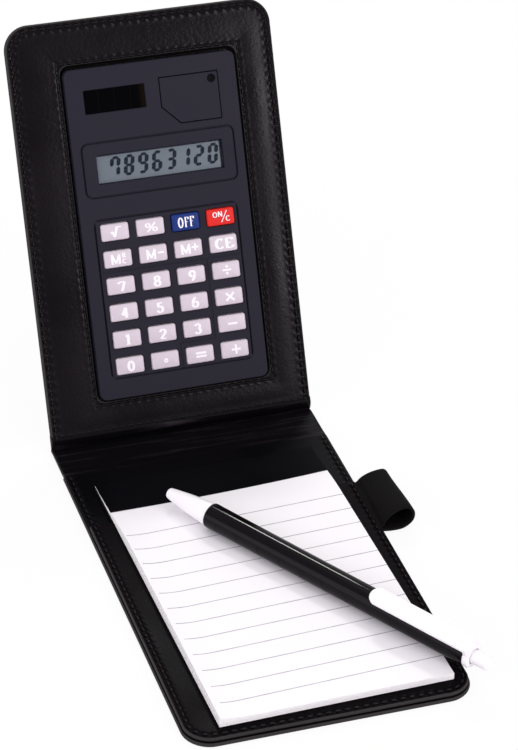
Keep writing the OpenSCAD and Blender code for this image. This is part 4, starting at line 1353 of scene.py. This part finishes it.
LETTERS = {
    "0": [bow(0.5, 0.5, 0.38, 0.47, 0, 360)],
    "1": [[(0.2, 0.78), (0.52, 0.98)], [(0.52, 1), (0.52, 0)], [(0.2, 0.03), (0.84, 0.03)]],
    "2": [bow(0.47, 0.72, 0.36, 0.25, 175, -35) + [(0.1, 0.06)], [(0.08, 0.06), (0.92, 0.06)]],
    "3": [bow(0.44, 0.74, 0.34, 0.23, 165, -80), bow(0.44, 0.27, 0.4, 0.24, 80, -165)],
    "4": [[(0.66, 1), (0.66, 0)], [(0.66, 1), (0.05, 0.3)], [(0.05, 0.3), (0.98, 0.3)],
          [(0.4, 0.03), (0.92, 0.03)]],
    "5": [[(0.85, 0.95), (0.24, 0.95), (0.22, 0.55)], bow(0.45, 0.32, 0.4, 0.29, 125, -165)],
    "6": [bow(0.5, 0.3, 0.38, 0.27, 0, 360), bow(0.76, 0.3, 0.64, 0.67, 100, 180)],
    "7": [[(0.06, 0.92), (0.94, 0.92)], [(0.94, 0.92), (0.46, 0.0)], [(0.06, 0.92), (0.06, 0.74)]],
    "8": [bow(0.5, 0.75, 0.32, 0.22, 0, 360), bow(0.5, 0.26, 0.4, 0.24, 0, 360)],
    "9": [bow(0.5, 0.7, 0.38, 0.27, 0, 360), bow(0.24, 0.7, 0.64, 0.67, -80, 0)],
    "M": [[(0.12, 0), (0.12, 1)], [(0.12, 1), (0.5, 0.08)], [(0.5, 0.08), (0.88, 1)], [(0.88, 1), (0.88, 0)],
          [(0, 0.02), (0.26, 0.02)], [(0.7, 0.02), (1, 0.02)], [(0, 0.98), (0.2, 0.98)],
          [(0.8, 0.98), (1, 0.98)]],
    "C": [bow(0.55, 0.5, 0.42, 0.47, 42, 318)],
    "E": [[(0.2, 0), (0.2, 1)], [(0.05, 0.97), (0.9, 0.97)], [(0.2, 0.52), (0.7, 0.52)],
          [(0.05, 0.03), (0.95, 0.03)], [(0.9, 0.97), (0.9, 0.78)], [(0.95, 0.03), (0.95, 0.24)]],
    "O": [bow(0.5, 0.5, 0.4, 0.47, 0, 360)],
    "N": [[(0.14, 0), (0.14, 1)], [(0.14, 1), (0.86, 0)], [(0.86, 0), (0.86, 1)]],
    "F": [[(0.26, 0), (0.26, 1)], [(0.1, 0.96), (0.92, 0.96)], [(0.26, 0.52), (0.74, 0.52)],
          [(0.08, 0.03), (0.5, 0.03)], [(0.92, 0.96), (0.92, 0.76)]],
    "R": [[(0.2, 0), (0.2, 1)], [(0.2, 0.97)] + bow(0.45, 0.74, 0.38, 0.23, 90, -90) + [(0.2, 0.51)],
          [(0.5, 0.5), (0.9, 0)]],
    "/": [[(1, 1), (0, 0)]],
    "%": [[(0.86, 1), (0.14, 0)], bow(0.2, 0.74, 0.17, 0.2, 0, 360), bow(0.8, 0.26, 0.17, 0.2, 0, 360)],
    "root": [[(0, 0.42), (0.18, 0.52), (0.36, 0.04), (0.6, 0.96), (1, 0.96)]],
    "plus": [[(0, 0.5), (1, 0.5)], [(0.5, 0), (0.5, 1)]],
    "minus": [[(0, 0.5), (1, 0.5)]],
    "times": [[(0, 0), (1, 1)], [(0, 1), (1, 0)]],
    "equals": [[(0, 0.8), (1, 0.8)], [(0, 0.2), (1, 0.2)]],
    "dot": [bow(0.5, 0.5, 0.25, 0.25, 0, 360)],
}
# Each key's letters: the letter, its middle from the key's middle, its width and height, and its boldness
LEGENDS = {f"key_{digit}": [(digit, 0.15, -0.2, 2.3, 3.4, 1.35)] for digit in "0123456789"}
LEGENDS.update({
    "key_sqrt": [("root", 0.25, 0.0, 3.9, 3.5, 1.2)],
    "key_percent": [("%", 0.2, -0.1, 4.0, 3.0, 0.95)],
    "key_off": [
        ("O", -1.85, -0.1, 1.75, 3.5, 0.75), ("F", 0.25, -0.05, 1.5, 3.5, 0.7),
        ("F", 2.1, 0.0, 1.5, 3.5, 0.7)],
    "key_on_clear": [
        ("O", -2.0, 0.9, 1.65, 1.8, 0.5), ("N", -0.2, 1.0, 1.5, 1.8, 0.5),
        ("/", 1.15, 0.1, 2.1, 3.9, 0.45), ("C", 2.4, -0.75, 1.5, 1.8, 0.5)],
    "key_mrc": [
        ("M", -0.9, -0.1, 3.4, 3.2, 1.0), ("R", 2.0, 1.0, 1.2, 1.5, 0.7), ("C", 1.9, -1.0, 1.3, 1.5, 0.7)],
    "key_m_minus": [("M", -0.9, -0.1, 3.4, 3.2, 1.0), ("minus", 2.5, 0.15, 2.1, 1.0, 1.1)],
    "key_m_plus": [("M", -1.1, -0.1, 3.4, 3.2, 1.0), ("plus", 2.2, 0.3, 2.4, 2.4, 1.1)],
    "key_clear_entry": [("C", -1.5, 0.05, 3.2, 3.4, 1.35), ("E", 1.9, 0.05, 2.8, 3.4, 1.35)],
    "key_divide": [
        ("minus", 0.1, 0.05, 3.1, 1.0, 1.0), ("dot", 0.1, 1.2, 1.0, 1.0, 0.8),
        ("dot", 0.1, -1.1, 1.0, 1.0, 0.8)],
    "key_multiply": [("times", 0.2, -0.05, 2.9, 2.7, 1.25)],
    "key_minus": [("minus", 0.1, -0.15, 3.4, 1.0, 1.2)],
    "key_plus": [("plus", 0.3, 0.0, 3.2, 3.2, 1.25)],
    "key_equals": [("equals", 0.2, 0.0, 3.7, 1.9, 1.25)],
    "key_point": [("dot", 0.1, -0.15, 1.4, 1.4, 1.4)],
})
EVEN_LETTERS = ("plus", "minus", "times", "equals", "dot", "/")
KEY_COLOURS = {"key_off": ("key_blue", key_blue), "key_on_clear": ("key_red", key_red)}
# Strokes: length of their parts, height on the cap and depth in it, and half widths at a boldness of 1
STROKE_STEP = 0.25
STROKE_HIGH, STROKE_LOW = 0.04, -0.06
EVEN_HALF, LEVEL_HALF, UPRIGHT_MORE = 0.3, 0.15, 0.22


def stroke_shell(path, bold, even, surface):
    """Flat raised stroke along a path; upright parts are heavier than level ones, unless it is even."""
    closed = (Vector(path[0]) - Vector(path[-1])).length < 0.01
    path = resampled(path, STROKE_STEP)
    before_first, after_last = (path[-2], path[1]) if closed else (path[0], path[-1])
    rings = []
    for before, point, after in zip([before_first] + path[:-1], path, path[1:] + [after_last]):
        along = (after - before).normalized()
        half = bold * (EVEN_HALF if even else LEVEL_HALF + UPRIGHT_MORE * abs(along.y))
        side = Vector((-along.y, along.x)) * half
        corners = [
            (point + side, STROKE_HIGH), (point - side, STROKE_HIGH),
            (point - side, STROKE_LOW), (point + side, STROKE_LOW)]
        rings.append([(p.x, p.y, surface(p.x, p.y) + lift) for p, lift in corners])
    return loft(rings, caps=not closed)


# Keys: height of the crown, its share across and along, and the rounding of the rim
KEY_CROWN = 0.28
CROWN_SHARES = 0.35, 0.65
KEY_RIM_R = 0.45
FLANGE_THICK = 0.4
# Insets of the rings on a cap's face
CAP_INSETS = 0.7, 1.2, 1.8, 2.4


def key_cap(name):
    """Key with its flange behind the face, a softly crowned cap and its legend."""
    low, high = local_box(name, LID)
    cap_low, cap_high = cap_box(name)
    middle, half = (cap_low + cap_high) / 2, (cap_high - cap_low) / 2
    flange_top = low.z + FLANGE_THICK

    def surface(x, y):
        across, along = (x - middle.x) / half.x, (y - middle.y) / half.y
        return high.z - KEY_CROWN * (CROWN_SHARES[0] * across ** 2 + CROWN_SHARES[1] * along ** 2)

    def ring(inset):
        drawn_in = Vector((inset, inset))
        radius = max(KEY_R - 0.5 * inset, 0.3)
        return rounded_rect(cap_low + drawn_in, cap_high - drawn_in, radius, 5)

    flange = rounded_rect(low.xy, high.xy, KEY_R + FLANGE_W, 5)
    rings = [raised(flange, low.z), raised(flange, flange_top), raised(ring(0), flange_top)]
    for a in arc(0, 90, 5):
        rounded = ring(0.02 + KEY_RIM_R * (1 - math.cos(a)))
        rings.append([(x, y, surface(x, y) - KEY_RIM_R * (1 - math.sin(a))) for x, y in rounded])
    for inset in CAP_INSETS:
        rings.append([(x, y, surface(x, y)) for x, y in ring(inset)])
    cap = Piece().add(loft(rings))
    for letter, x, y, wide, tall, bold in LEGENDS[name]:
        for path in LETTERS[letter]:
            placed = [(middle.x + x + (px - 0.5) * wide, middle.y + y + (py - 0.5) * tall) for px, py in path]
            cap.add(stroke_shell(placed, bold, letter in EVEN_LETTERS, surface), 1)
    slot, colour = KEY_COLOURS.get(name, ("key_pale", key_pale))
    put(cap.make(name + "_button", [colour, legend_white], LID, 50), name + "_cap", slot, name)


calculator_face()
battery_door()
door_screw()
lcd_display()
solar_panel()
for key_row in KEY_ROWS:
    for key_name in key_row:
        key_cap(key_name)

# Notepad

SHEET_LOW, SHEET_HIGH = local_box("pad_top_sheet", PAD)
SHEET_SIZE = SHEET_HIGH.xy - SHEET_LOW.xy
SHEET_HALF = SHEET_SIZE / 2
SHEET_MIDDLE = (SHEET_LOW.xy + SHEET_HIGH.xy) / 2
SHEET_PLACE = PAD @ Matrix.Translation((SHEET_MIDDLE.x, SHEET_MIDDLE.y, 0))
SHEET_TOP = SHEET_LOW.z + 0.12
# The stack of pages under the top sheet, which starts just above the pocket
PAGES = 15
STACK_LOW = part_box("base_pocket")[1].z / MM + 0.08
PAGE_PITCH = (SHEET_LOW.z - STACK_LOW) / PAGES
PAGE_THICK = 0.7 * PAGE_PITCH
PAGE_ASKEW = 0.12
PAGE_SEED = 11
# Lowest page's middle, and where the next one above the stack would have its middle
STACK_RANGE = STACK_LOW + 0.5 * PAGE_PITCH, SHEET_LOW.z + 0.5 * PAGE_PITCH
# The pages curl up along the left edge, and are pressed together and sag at the bound end
PAGE_LIFT = 1.3
PAGE_CURL_W = 9.5
BOUND_SQUEEZE = 0.8
BOUND_SAG = 0.75
# The pages under the top sheet sag a little more, so that they stay clear of it
PAGE_SAG = BOUND_SAG + 0.1
# Lengths at the bound end, in widths of the strip: the pressed part, and where the curl fades out
PRESSED_STRIPS = 1.6
FADE_STRIPS = 2.4, 1.0


def page_shape(x, y, z):
    """Height of the paper that would lie at a height if the stack were flat."""
    low, high = STACK_RANGE
    curl = min(max((PAGE_CURL_W - (x + SHEET_HALF.x)) / PAGE_CURL_W, 0), 1) ** 2
    share = (z - low) / (high - low)
    strips = (SHEET_HALF.y - y) / STRIP_W
    pressed = smooth_step(1 - strips / PRESSED_STRIPS)
    front = smooth_step((strips - FADE_STRIPS[1]) / (FADE_STRIPS[0] - FADE_STRIPS[1]))
    sag = 4 * pressed * (1 - pressed) * (1 - (x / SHEET_HALF.x) ** 2)
    return z + share * (PAGE_LIFT * curl * front - BOUND_SAG * sag) - BOUND_SQUEEZE * (z - low) * pressed


def page_height(tree, start, wide, long):
    """How far a point of the loose stack moves up or down, by the rule of page_shape."""
    x, y, z = parts_of(tree, result(tree, "GeometryNodeInputPosition"))
    half_w, half_l = product(tree, wide, 0.5), product(tree, long, 0.5)
    curl = mapped(tree, math_node(tree, "ADD", x, half_w), 0.0, start["Curl"], 1.0, 0.0)
    share = math_node(tree, "DIVIDE", z, product(tree, start["Pitch"], start["Sheets"]))
    bound_start, fade_start, fade_end = (
        math_node(tree, "SUBTRACT", half_l, product(tree, start["Bound"], strips))
        for strips in (PRESSED_STRIPS, *FADE_STRIPS))
    pressed = mapped(tree, y, bound_start, half_l, 0.0, 1.0, "SMOOTHSTEP")
    front = mapped(tree, y, fade_start, fade_end, 1.0, 0.0, "SMOOTHSTEP")
    lift = product(tree, curl, curl, share, front, start["Lift"])
    press = product(tree, z, pressed, start["Squeeze"])
    off_middle = math_node(tree, "POWER", math_node(tree, "DIVIDE", x, half_w), 2.0)
    bay = product(tree, math_node(tree, "SUBTRACT", 1.0, off_middle), share, 4.0)
    sag = product(tree, bay, pressed, math_node(tree, "SUBTRACT", 1.0, pressed), start["Sag"])
    return math_node(tree, "SUBTRACT", math_node(tree, "SUBTRACT", lift, press), sag)


def page_rule():
    """Stack of sheets, each a little askew, that curl up along the left edge."""
    inputs = {
        "Sheets": "Int", "Size": "Vector", "Pitch": "Float", "Thickness": "Float", "Askew": "Float",
        "Seed": "Int", "Lift": "Float", "Curl": "Float", "Squeeze": "Float", "Sag": "Float", "Bound": "Float"}
    tree, start = rule_tree("page_stack", inputs)
    step = vector_of(tree, z=start["Pitch"])
    line = result(tree, "GeometryNodeMeshLine", {"Count": start["Sheets"], "Offset": step})
    wide, long, _ = parts_of(tree, start["Size"])
    size = vector_of(tree, wide, long, start["Thickness"])
    cuts = {"Size": size, "Vertices X": 24, "Vertices Y": 40, "Vertices Z": 2}
    sheet = result(tree, "GeometryNodeMeshCube", cuts)
    seeds = (math_node(tree, "ADD", start["Seed"], extra) for extra in (0.0, 1.0))
    shift = vector_of(tree, *(random_shift(tree, start["Askew"], seed) for seed in seeds))
    line = result(tree, "GeometryNodeSetPosition", {"Geometry": line, "Offset": shift})
    stack = result(tree, "GeometryNodeInstanceOnPoints", {"Points": line, "Instance": sheet})
    loose = result(tree, "GeometryNodeRealizeInstances", {0: stack})
    rise = vector_of(tree, z=page_height(tree, start, wide, long))
    return end_tree(tree, start, result(tree, "GeometryNodeSetPosition", {"Geometry": loose, "Offset": rise}))


def page_stack():
    """Pages under the top sheet."""
    values = {
        "Sheets": PAGES, "Size": (*SHEET_SIZE, 0.0), "Pitch": PAGE_PITCH, "Thickness": PAGE_THICK,
        "Askew": PAGE_ASKEW, "Seed": PAGE_SEED, "Lift": PAGE_LIFT, "Curl": PAGE_CURL_W,
        "Squeeze": BOUND_SQUEEZE, "Sag": PAGE_SAG, "Bound": STRIP_W, "Material": page_edge}
    place = SHEET_PLACE @ Matrix.Translation((0, 0, STACK_RANGE[0]))
    stack = settle("page_stack", grown_mesh(page_rule(), values), place, 50)
    put(stack, "pad", "pad_paper", "pad_pages")


def curved_sheet(left, right, front, back, low, high, steps, slant=0.0):
    """Closed thin sheet that follows the paper's shape; its front edge may slant."""
    across, along = steps
    rings = []
    for k in range(along + 1):
        row = []
        for i in range(across + 1):
            x = left + (right - left) * i / across
            start = front + slant * (x - left)
            row.append((x, start + (back - start) * k / along))
        upper = [(x, y, page_shape(x, y, high)) for x, y in row]
        lower = [(x, y, page_shape(x, y, low)) for x, y in reversed(row)]
        rings.append(upper + lower)
    return loft(rings)


def ruled_sheet():
    """Ruled top sheet."""
    half = SHEET_HALF
    sheet = Piece().add(
        curved_sheet(-half.x, half.x, -half.y, half.y - 0.3, SHEET_LOW.z, SHEET_TOP, (60, 60)))
    put(sheet.make("ruled_sheet", [pad_paper], SHEET_PLACE, 50), "pad", "pad_paper", "pad_top_sheet")


def binding_strip():
    """Strip over the bound end of the pages and down their back."""
    side, back = SHEET_HALF.x + 0.1, SHEET_HALF.y
    strip = Piece().add(curved_sheet(
        -side, side, back - STRIP_W + 0.15, back + 0.3, SHEET_TOP + 0.12, SHEET_TOP + 0.36, (60, 30),
        math.tan(PRINT_TURN)))
    down = rounded_rect((-side, back + 0.02), (side, back + 0.3), 0.1, 2)
    strip_low = local_box("pad_binding_strip", PAD)[0].z
    strip.add(plate(down, [], strip_low, page_shape(0, back, SHEET_TOP + 0.2), 0.05))
    put(strip.make("binding_strip", [binding], SHEET_PLACE, 50), "pad", "binding", "pad_binding_strip")


page_stack()
ruled_sheet()
binding_strip()

# Pen


def pen_span(node):
    """Start and end of a solid along the pen, and its radius."""
    low, high = local_box(node, PEN)
    return low.x, high.x, high.y


BARREL_START, BARREL_END, BARREL_R = pen_span("pen_barrel")
BARREL_BORE = 3.3
# The nose and the collar are plugged into the barrel
PLUG_R = 3.2
PLUG_L = 6
# Nose: radius of its tip's round end and at the barrel, how far its side bulges, and where the tip ends
NOSE_TIP_R, NOSE_R = 1.9, 3.9
NOSE_BULGE = 0.25
NOSE_TIP_L = 1.1
NOSE_STEPS = 8
# Bores of the nose: at the tip, round the refill and round the spring
TIP_BORE, REFILL_BORE, SPRING_BORE = 1.1, 1.7, 2.5
REFILL_TIP_R = 1.2
# How far in front of the barrel the spring sits
SPRING_SEAT = 6
CLICK_TRAVEL = joints["pen_click"]["range_m"][1] / MM
COLLAR_BORE = 2.6
CLIP_LOW, CLIP_HIGH = local_box("pen_clip", PEN)
CLIP_THICK = 1.4
PLUNGER_EDGE = 1.1
# A turned piece without a bore starts and ends on a very small ring
AXIS_R = 0.02
SPRING_TURNS = 8.0
SPRING_WIRE = 0.2


def barrel():
    """Black barrel with softly rounded ends."""
    start, end, radius = BARREL_START, BARREL_END, BARREL_R
    profile = [
        (BARREL_BORE, start), (radius - 0.5, start), (radius - 0.16, start + 0.1),
        (radius - 0.03, start + 0.35), (radius, start + 0.8), (radius, (start + end) / 2),
        (radius, end - 0.5), (radius - 0.1, end - 0.1), (radius - 0.35, end), (BARREL_BORE, end)]
    made = Piece().add(turned(profile, True)).make("barrel", [pen_black], PEN)
    put(made, "pen", "pen_black", "pen_barrel")


def nose_cone():
    """White nose: a bulging cone with a plug, and a bore that lets the refill travel."""
    start, plug_end = BARREL_START, pen_span("pen_nose")[1]
    cone_r = NOSE_TIP_R + 0.06
    profile = [
        (TIP_BORE, 0), (NOSE_TIP_R - 0.7, 0), (NOSE_TIP_R - 0.25, 0.12), (NOSE_TIP_R - 0.04, 0.5),
        (cone_r, NOSE_TIP_L)]
    for k in range(1, NOSE_STEPS + 1):
        share = k / NOSE_STEPS
        bulge = NOSE_BULGE * math.sin(math.pi * share)
        place = NOSE_TIP_L + (start - NOSE_TIP_L - 0.3) * share
        profile.append((cone_r + (NOSE_R - cone_r) * share + bulge, place))
    refill = local_points("pen_refill", PEN)
    tube_front = min(p.x for p in refill if math.hypot(p.y, p.z) > REFILL_TIP_R)
    neck = tube_front - CLICK_TRAVEL - 0.4
    seat = start - SPRING_SEAT
    profile += [
        (NOSE_R - 0.1, start - 0.05), (PLUG_R, start), (PLUG_R, plug_end), (SPRING_BORE, plug_end),
        (SPRING_BORE, seat), (REFILL_BORE, seat), (REFILL_BORE, neck), (TIP_BORE, neck)]
    made = Piece().add(turned(profile, True)).make("nose_cone", [pen_white], PEN)
    put(made, "pen", "pen_white", "pen_nose")


def pocket_clip():
    """White collar at the pen's rear end, with its clip."""
    start, end, radius = BARREL_END, CLIP_HIGH.x, BARREL_R
    collar = [
        (COLLAR_BORE, start - PLUG_L), (PLUG_R, start - PLUG_L), (PLUG_R, start),
        (radius - 0.3, start + 0.02), (radius - 0.02, start + 0.3), (radius, start + 0.8),
        (radius, end - 0.8), (radius - 0.25, end - 0.2), (radius - 0.7, end), (COLLAR_BORE, end)]
    half_w = max(p.y for p in local_points("pen_clip", PEN) if p.x < CLIP_LOW.x + CLIP_END_L)
    tongue = [(CLIP_LOW.x + half_w - half_w * math.sin(a), half_w * math.cos(a)) for a in arc(0, 180, 24)]
    tongue += [(end, -half_w), (end, half_w)]
    under = CLIP_HIGH.z - CLIP_THICK
    neck = rounded_rect((start + 0.1, -half_w + 0.1), (end - 0.1, half_w - 0.1), 0.6, 4)
    clip = Piece().add(turned(collar, True))
    clip.add(plate(tongue, [], under, CLIP_HIGH.z, 0.55))
    clip.add(plate(neck, [], 3.0, under + 0.1, 0.02))
    put(clip.make("pocket_clip", [pen_white], PEN), "pen", "pen_white", "pen_clip")


def push_button():
    """White plunger with a round end."""
    start, end, radius = pen_span("pen_plunger")
    profile = [(AXIS_R, start), (radius, start), (radius, end - 1.2)]
    for a in arc(0, 80, 6):
        profile.append((radius - PLUNGER_EDGE * (1 - math.cos(a)), end - PLUNGER_EDGE * (1 - math.sin(a))))
    profile.append((AXIS_R, end))
    button = Piece().add(turned(profile)).make("push_button", [pen_white], PEN)
    put(button, "pen_ink", "pen_white", "pen_plunger")


def spring_rule():
    """Wire wound on a helix along z."""
    inputs = {"Turns": "Float", "Radius": "Float", "Height": "Float", "Wire": "Float"}
    tree, start = rule_tree("wound_spring", inputs)
    helix = result(tree, "GeometryNodeCurveSpiral", {
        "Resolution": 24, "Rotations": start["Turns"], "Height": start["Height"],
        "Start Radius": start["Radius"], "End Radius": start["Radius"]})
    ring = result(tree, "GeometryNodeCurvePrimitiveCircle", {"Resolution": 8, "Radius": start["Wire"]})
    swept = {"Curve": helix, "Profile Curve": ring, "Fill Caps": True}
    return end_tree(tree, start, result(tree, "GeometryNodeCurveToMesh", swept))


def return_spring():
    """Steel spring in the nose, which the pen's click squashes."""
    start, end, radius = pen_span("pen_spring")
    values = {
        "Turns": SPRING_TURNS, "Radius": radius - SPRING_WIRE, "Height": end - start - 2 * SPRING_WIRE,
        "Wire": SPRING_WIRE, "Material": bright_steel}
    turn = Matrix.Translation((start + SPRING_WIRE, 0, 0)) @ Matrix.Rotation(math.pi / 2, 4, "Y")
    coil = settle("return_spring", grown_mesh(spring_rule(), values), PEN @ turn, 60)
    put(coil, "pen", "bright_steel", "pen_spring")
    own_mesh(coil)


barrel()
nose_cone()
pocket_clip()
push_button()
return_spring()

# Solids that stay as they are, with their finishes

for name, material in {
    "base_board": stiff_board, "lid_board": shade_black_board, "calc_back_case": case_plastic,
    "lcd_window": clear_window, "zebra_strip": keypad_rubber, "circuit_board": circuit,
    "chip_blob": chip_resin, "rubber_keypad": keypad_rubber, "button_cell": bright_steel,
    "battery_contacts": bright_steel, "case_screws": bright_steel, "pad_card_back": pad_card,
    "pen_refill": ink_tube,
}.items():
    solid = frame["nodes"][name]
    solid.data.materials.clear()
    solid.data.materials.append(material)

# Floor, world and lamps

FLOOR_HALF = 20000
FLOOR_Z = -0.02
# The floor shows as white by this share near the object, and fully past the second distance, in metres
FLOOR_WHITE = 0.92
FLOOR_NEAR, FLOOR_FAR = 0.4, 0.9
ROOM_FILL = 0.66, 0.605, 0.67, 1


def shown_rays(tree):
    """1 for the rays that show the background: camera, glossy and transmission rays."""
    path = node(tree, "ShaderNodeLightPath").outputs
    shown = math_node(tree, "MAXIMUM", path["Is Camera Ray"], path["Is Glossy Ray"])
    return math_node(tree, "MAXIMUM", shown, path["Is Transmission Ray"])


def floor_finish():
    """Matt white that shows as white and keeps a soft shadow near the object."""
    material = bpy.data.materials.new("studio_floor")
    material.use_nodes = True
    tree = material.node_tree
    shader = tree.nodes["Principled BSDF"]
    shader.inputs["Base Color"].default_value = (0.9, 0.9, 0.9, 1)
    shader.inputs["Roughness"].default_value = 0.9
    shader.inputs["Specular IOR Level"].default_value = 0.0
    white = result(tree, "ShaderNodeEmission", {"Color": (1, 1, 1, 1), "Strength": 1.0})
    far = node(tree, "ShaderNodeVectorMath", {0: object_place(tree)}, operation="LENGTH").outputs["Value"]
    whiteness = mapped(tree, far, FLOOR_NEAR, FLOOR_FAR, FLOOR_WHITE, 1, "SMOOTHSTEP")
    share = product(tree, shown_rays(tree), whiteness)
    both = result(tree, "ShaderNodeMixShader", {0: share, 1: shader.outputs[0], 2: white})
    tree.links.new(both, tree.nodes["Material Output"].inputs["Surface"])
    return material


def studio_floor():
    """Wide floor just under the object."""
    half = FLOOR_HALF
    corners = [(-half, -half, 0), (half, -half, 0), (half, half, 0), (-half, half, 0)]
    floor = Piece().add((corners, [(0, 1, 2, 3)]))
    floor.make("studio_floor", [floor_finish()], Matrix.Translation((0, 0, FLOOR_Z)))


def studio_world():
    """Soft, slightly violet fill from the room."""
    world = bpy.data.worlds.new("studio")
    bpy.context.scene.world = world
    world.use_nodes = True
    world.node_tree.nodes["Background"].inputs["Color"].default_value = ROOM_FILL


def lamp(name, place, aim, size, power, colour=(1, 1, 1), along=(1, 0, 0)):
    """Oblong area lamp that points at a place, with its first side along a direction; mm and watts."""
    data = bpy.data.lights.new(name, "AREA")
    data.shape = "RECTANGLE"
    data.size, data.size_y = (side * MM for side in size)
    data.energy = power
    data.color = colour
    made = bpy.data.objects.new(name, data)
    bpy.context.scene.collection.objects.link(made)
    back = (Vector(place) - Vector(aim)).normalized()
    side = (Vector(along) - Vector(along).project(back)).normalized()
    facing = Matrix((side, back.cross(side), back)).transposed().to_4x4()
    made.matrix_world = Matrix.Translation(Vector(place) * MM) @ facing


studio_floor()
studio_world()
lamp("overhead", (150, 100, 1000), (0, 0, 20), (900, 900), 1.3, (0.72, 1, 0.66))
lamp("front", (490, -770, 430), (30, 100, 90), (220, 300), 2.9, (1, 0.92, 1))
lamp("left", (-1050, -440, 580), (10, -10, 20), (2400, 1000), 10, (0.97, 0.93, 0.97))
lamp("back", (170, 670, 720), (20, -20, 10), (170, 130), 2.2, (0.97, 1, 0.94), along=click)
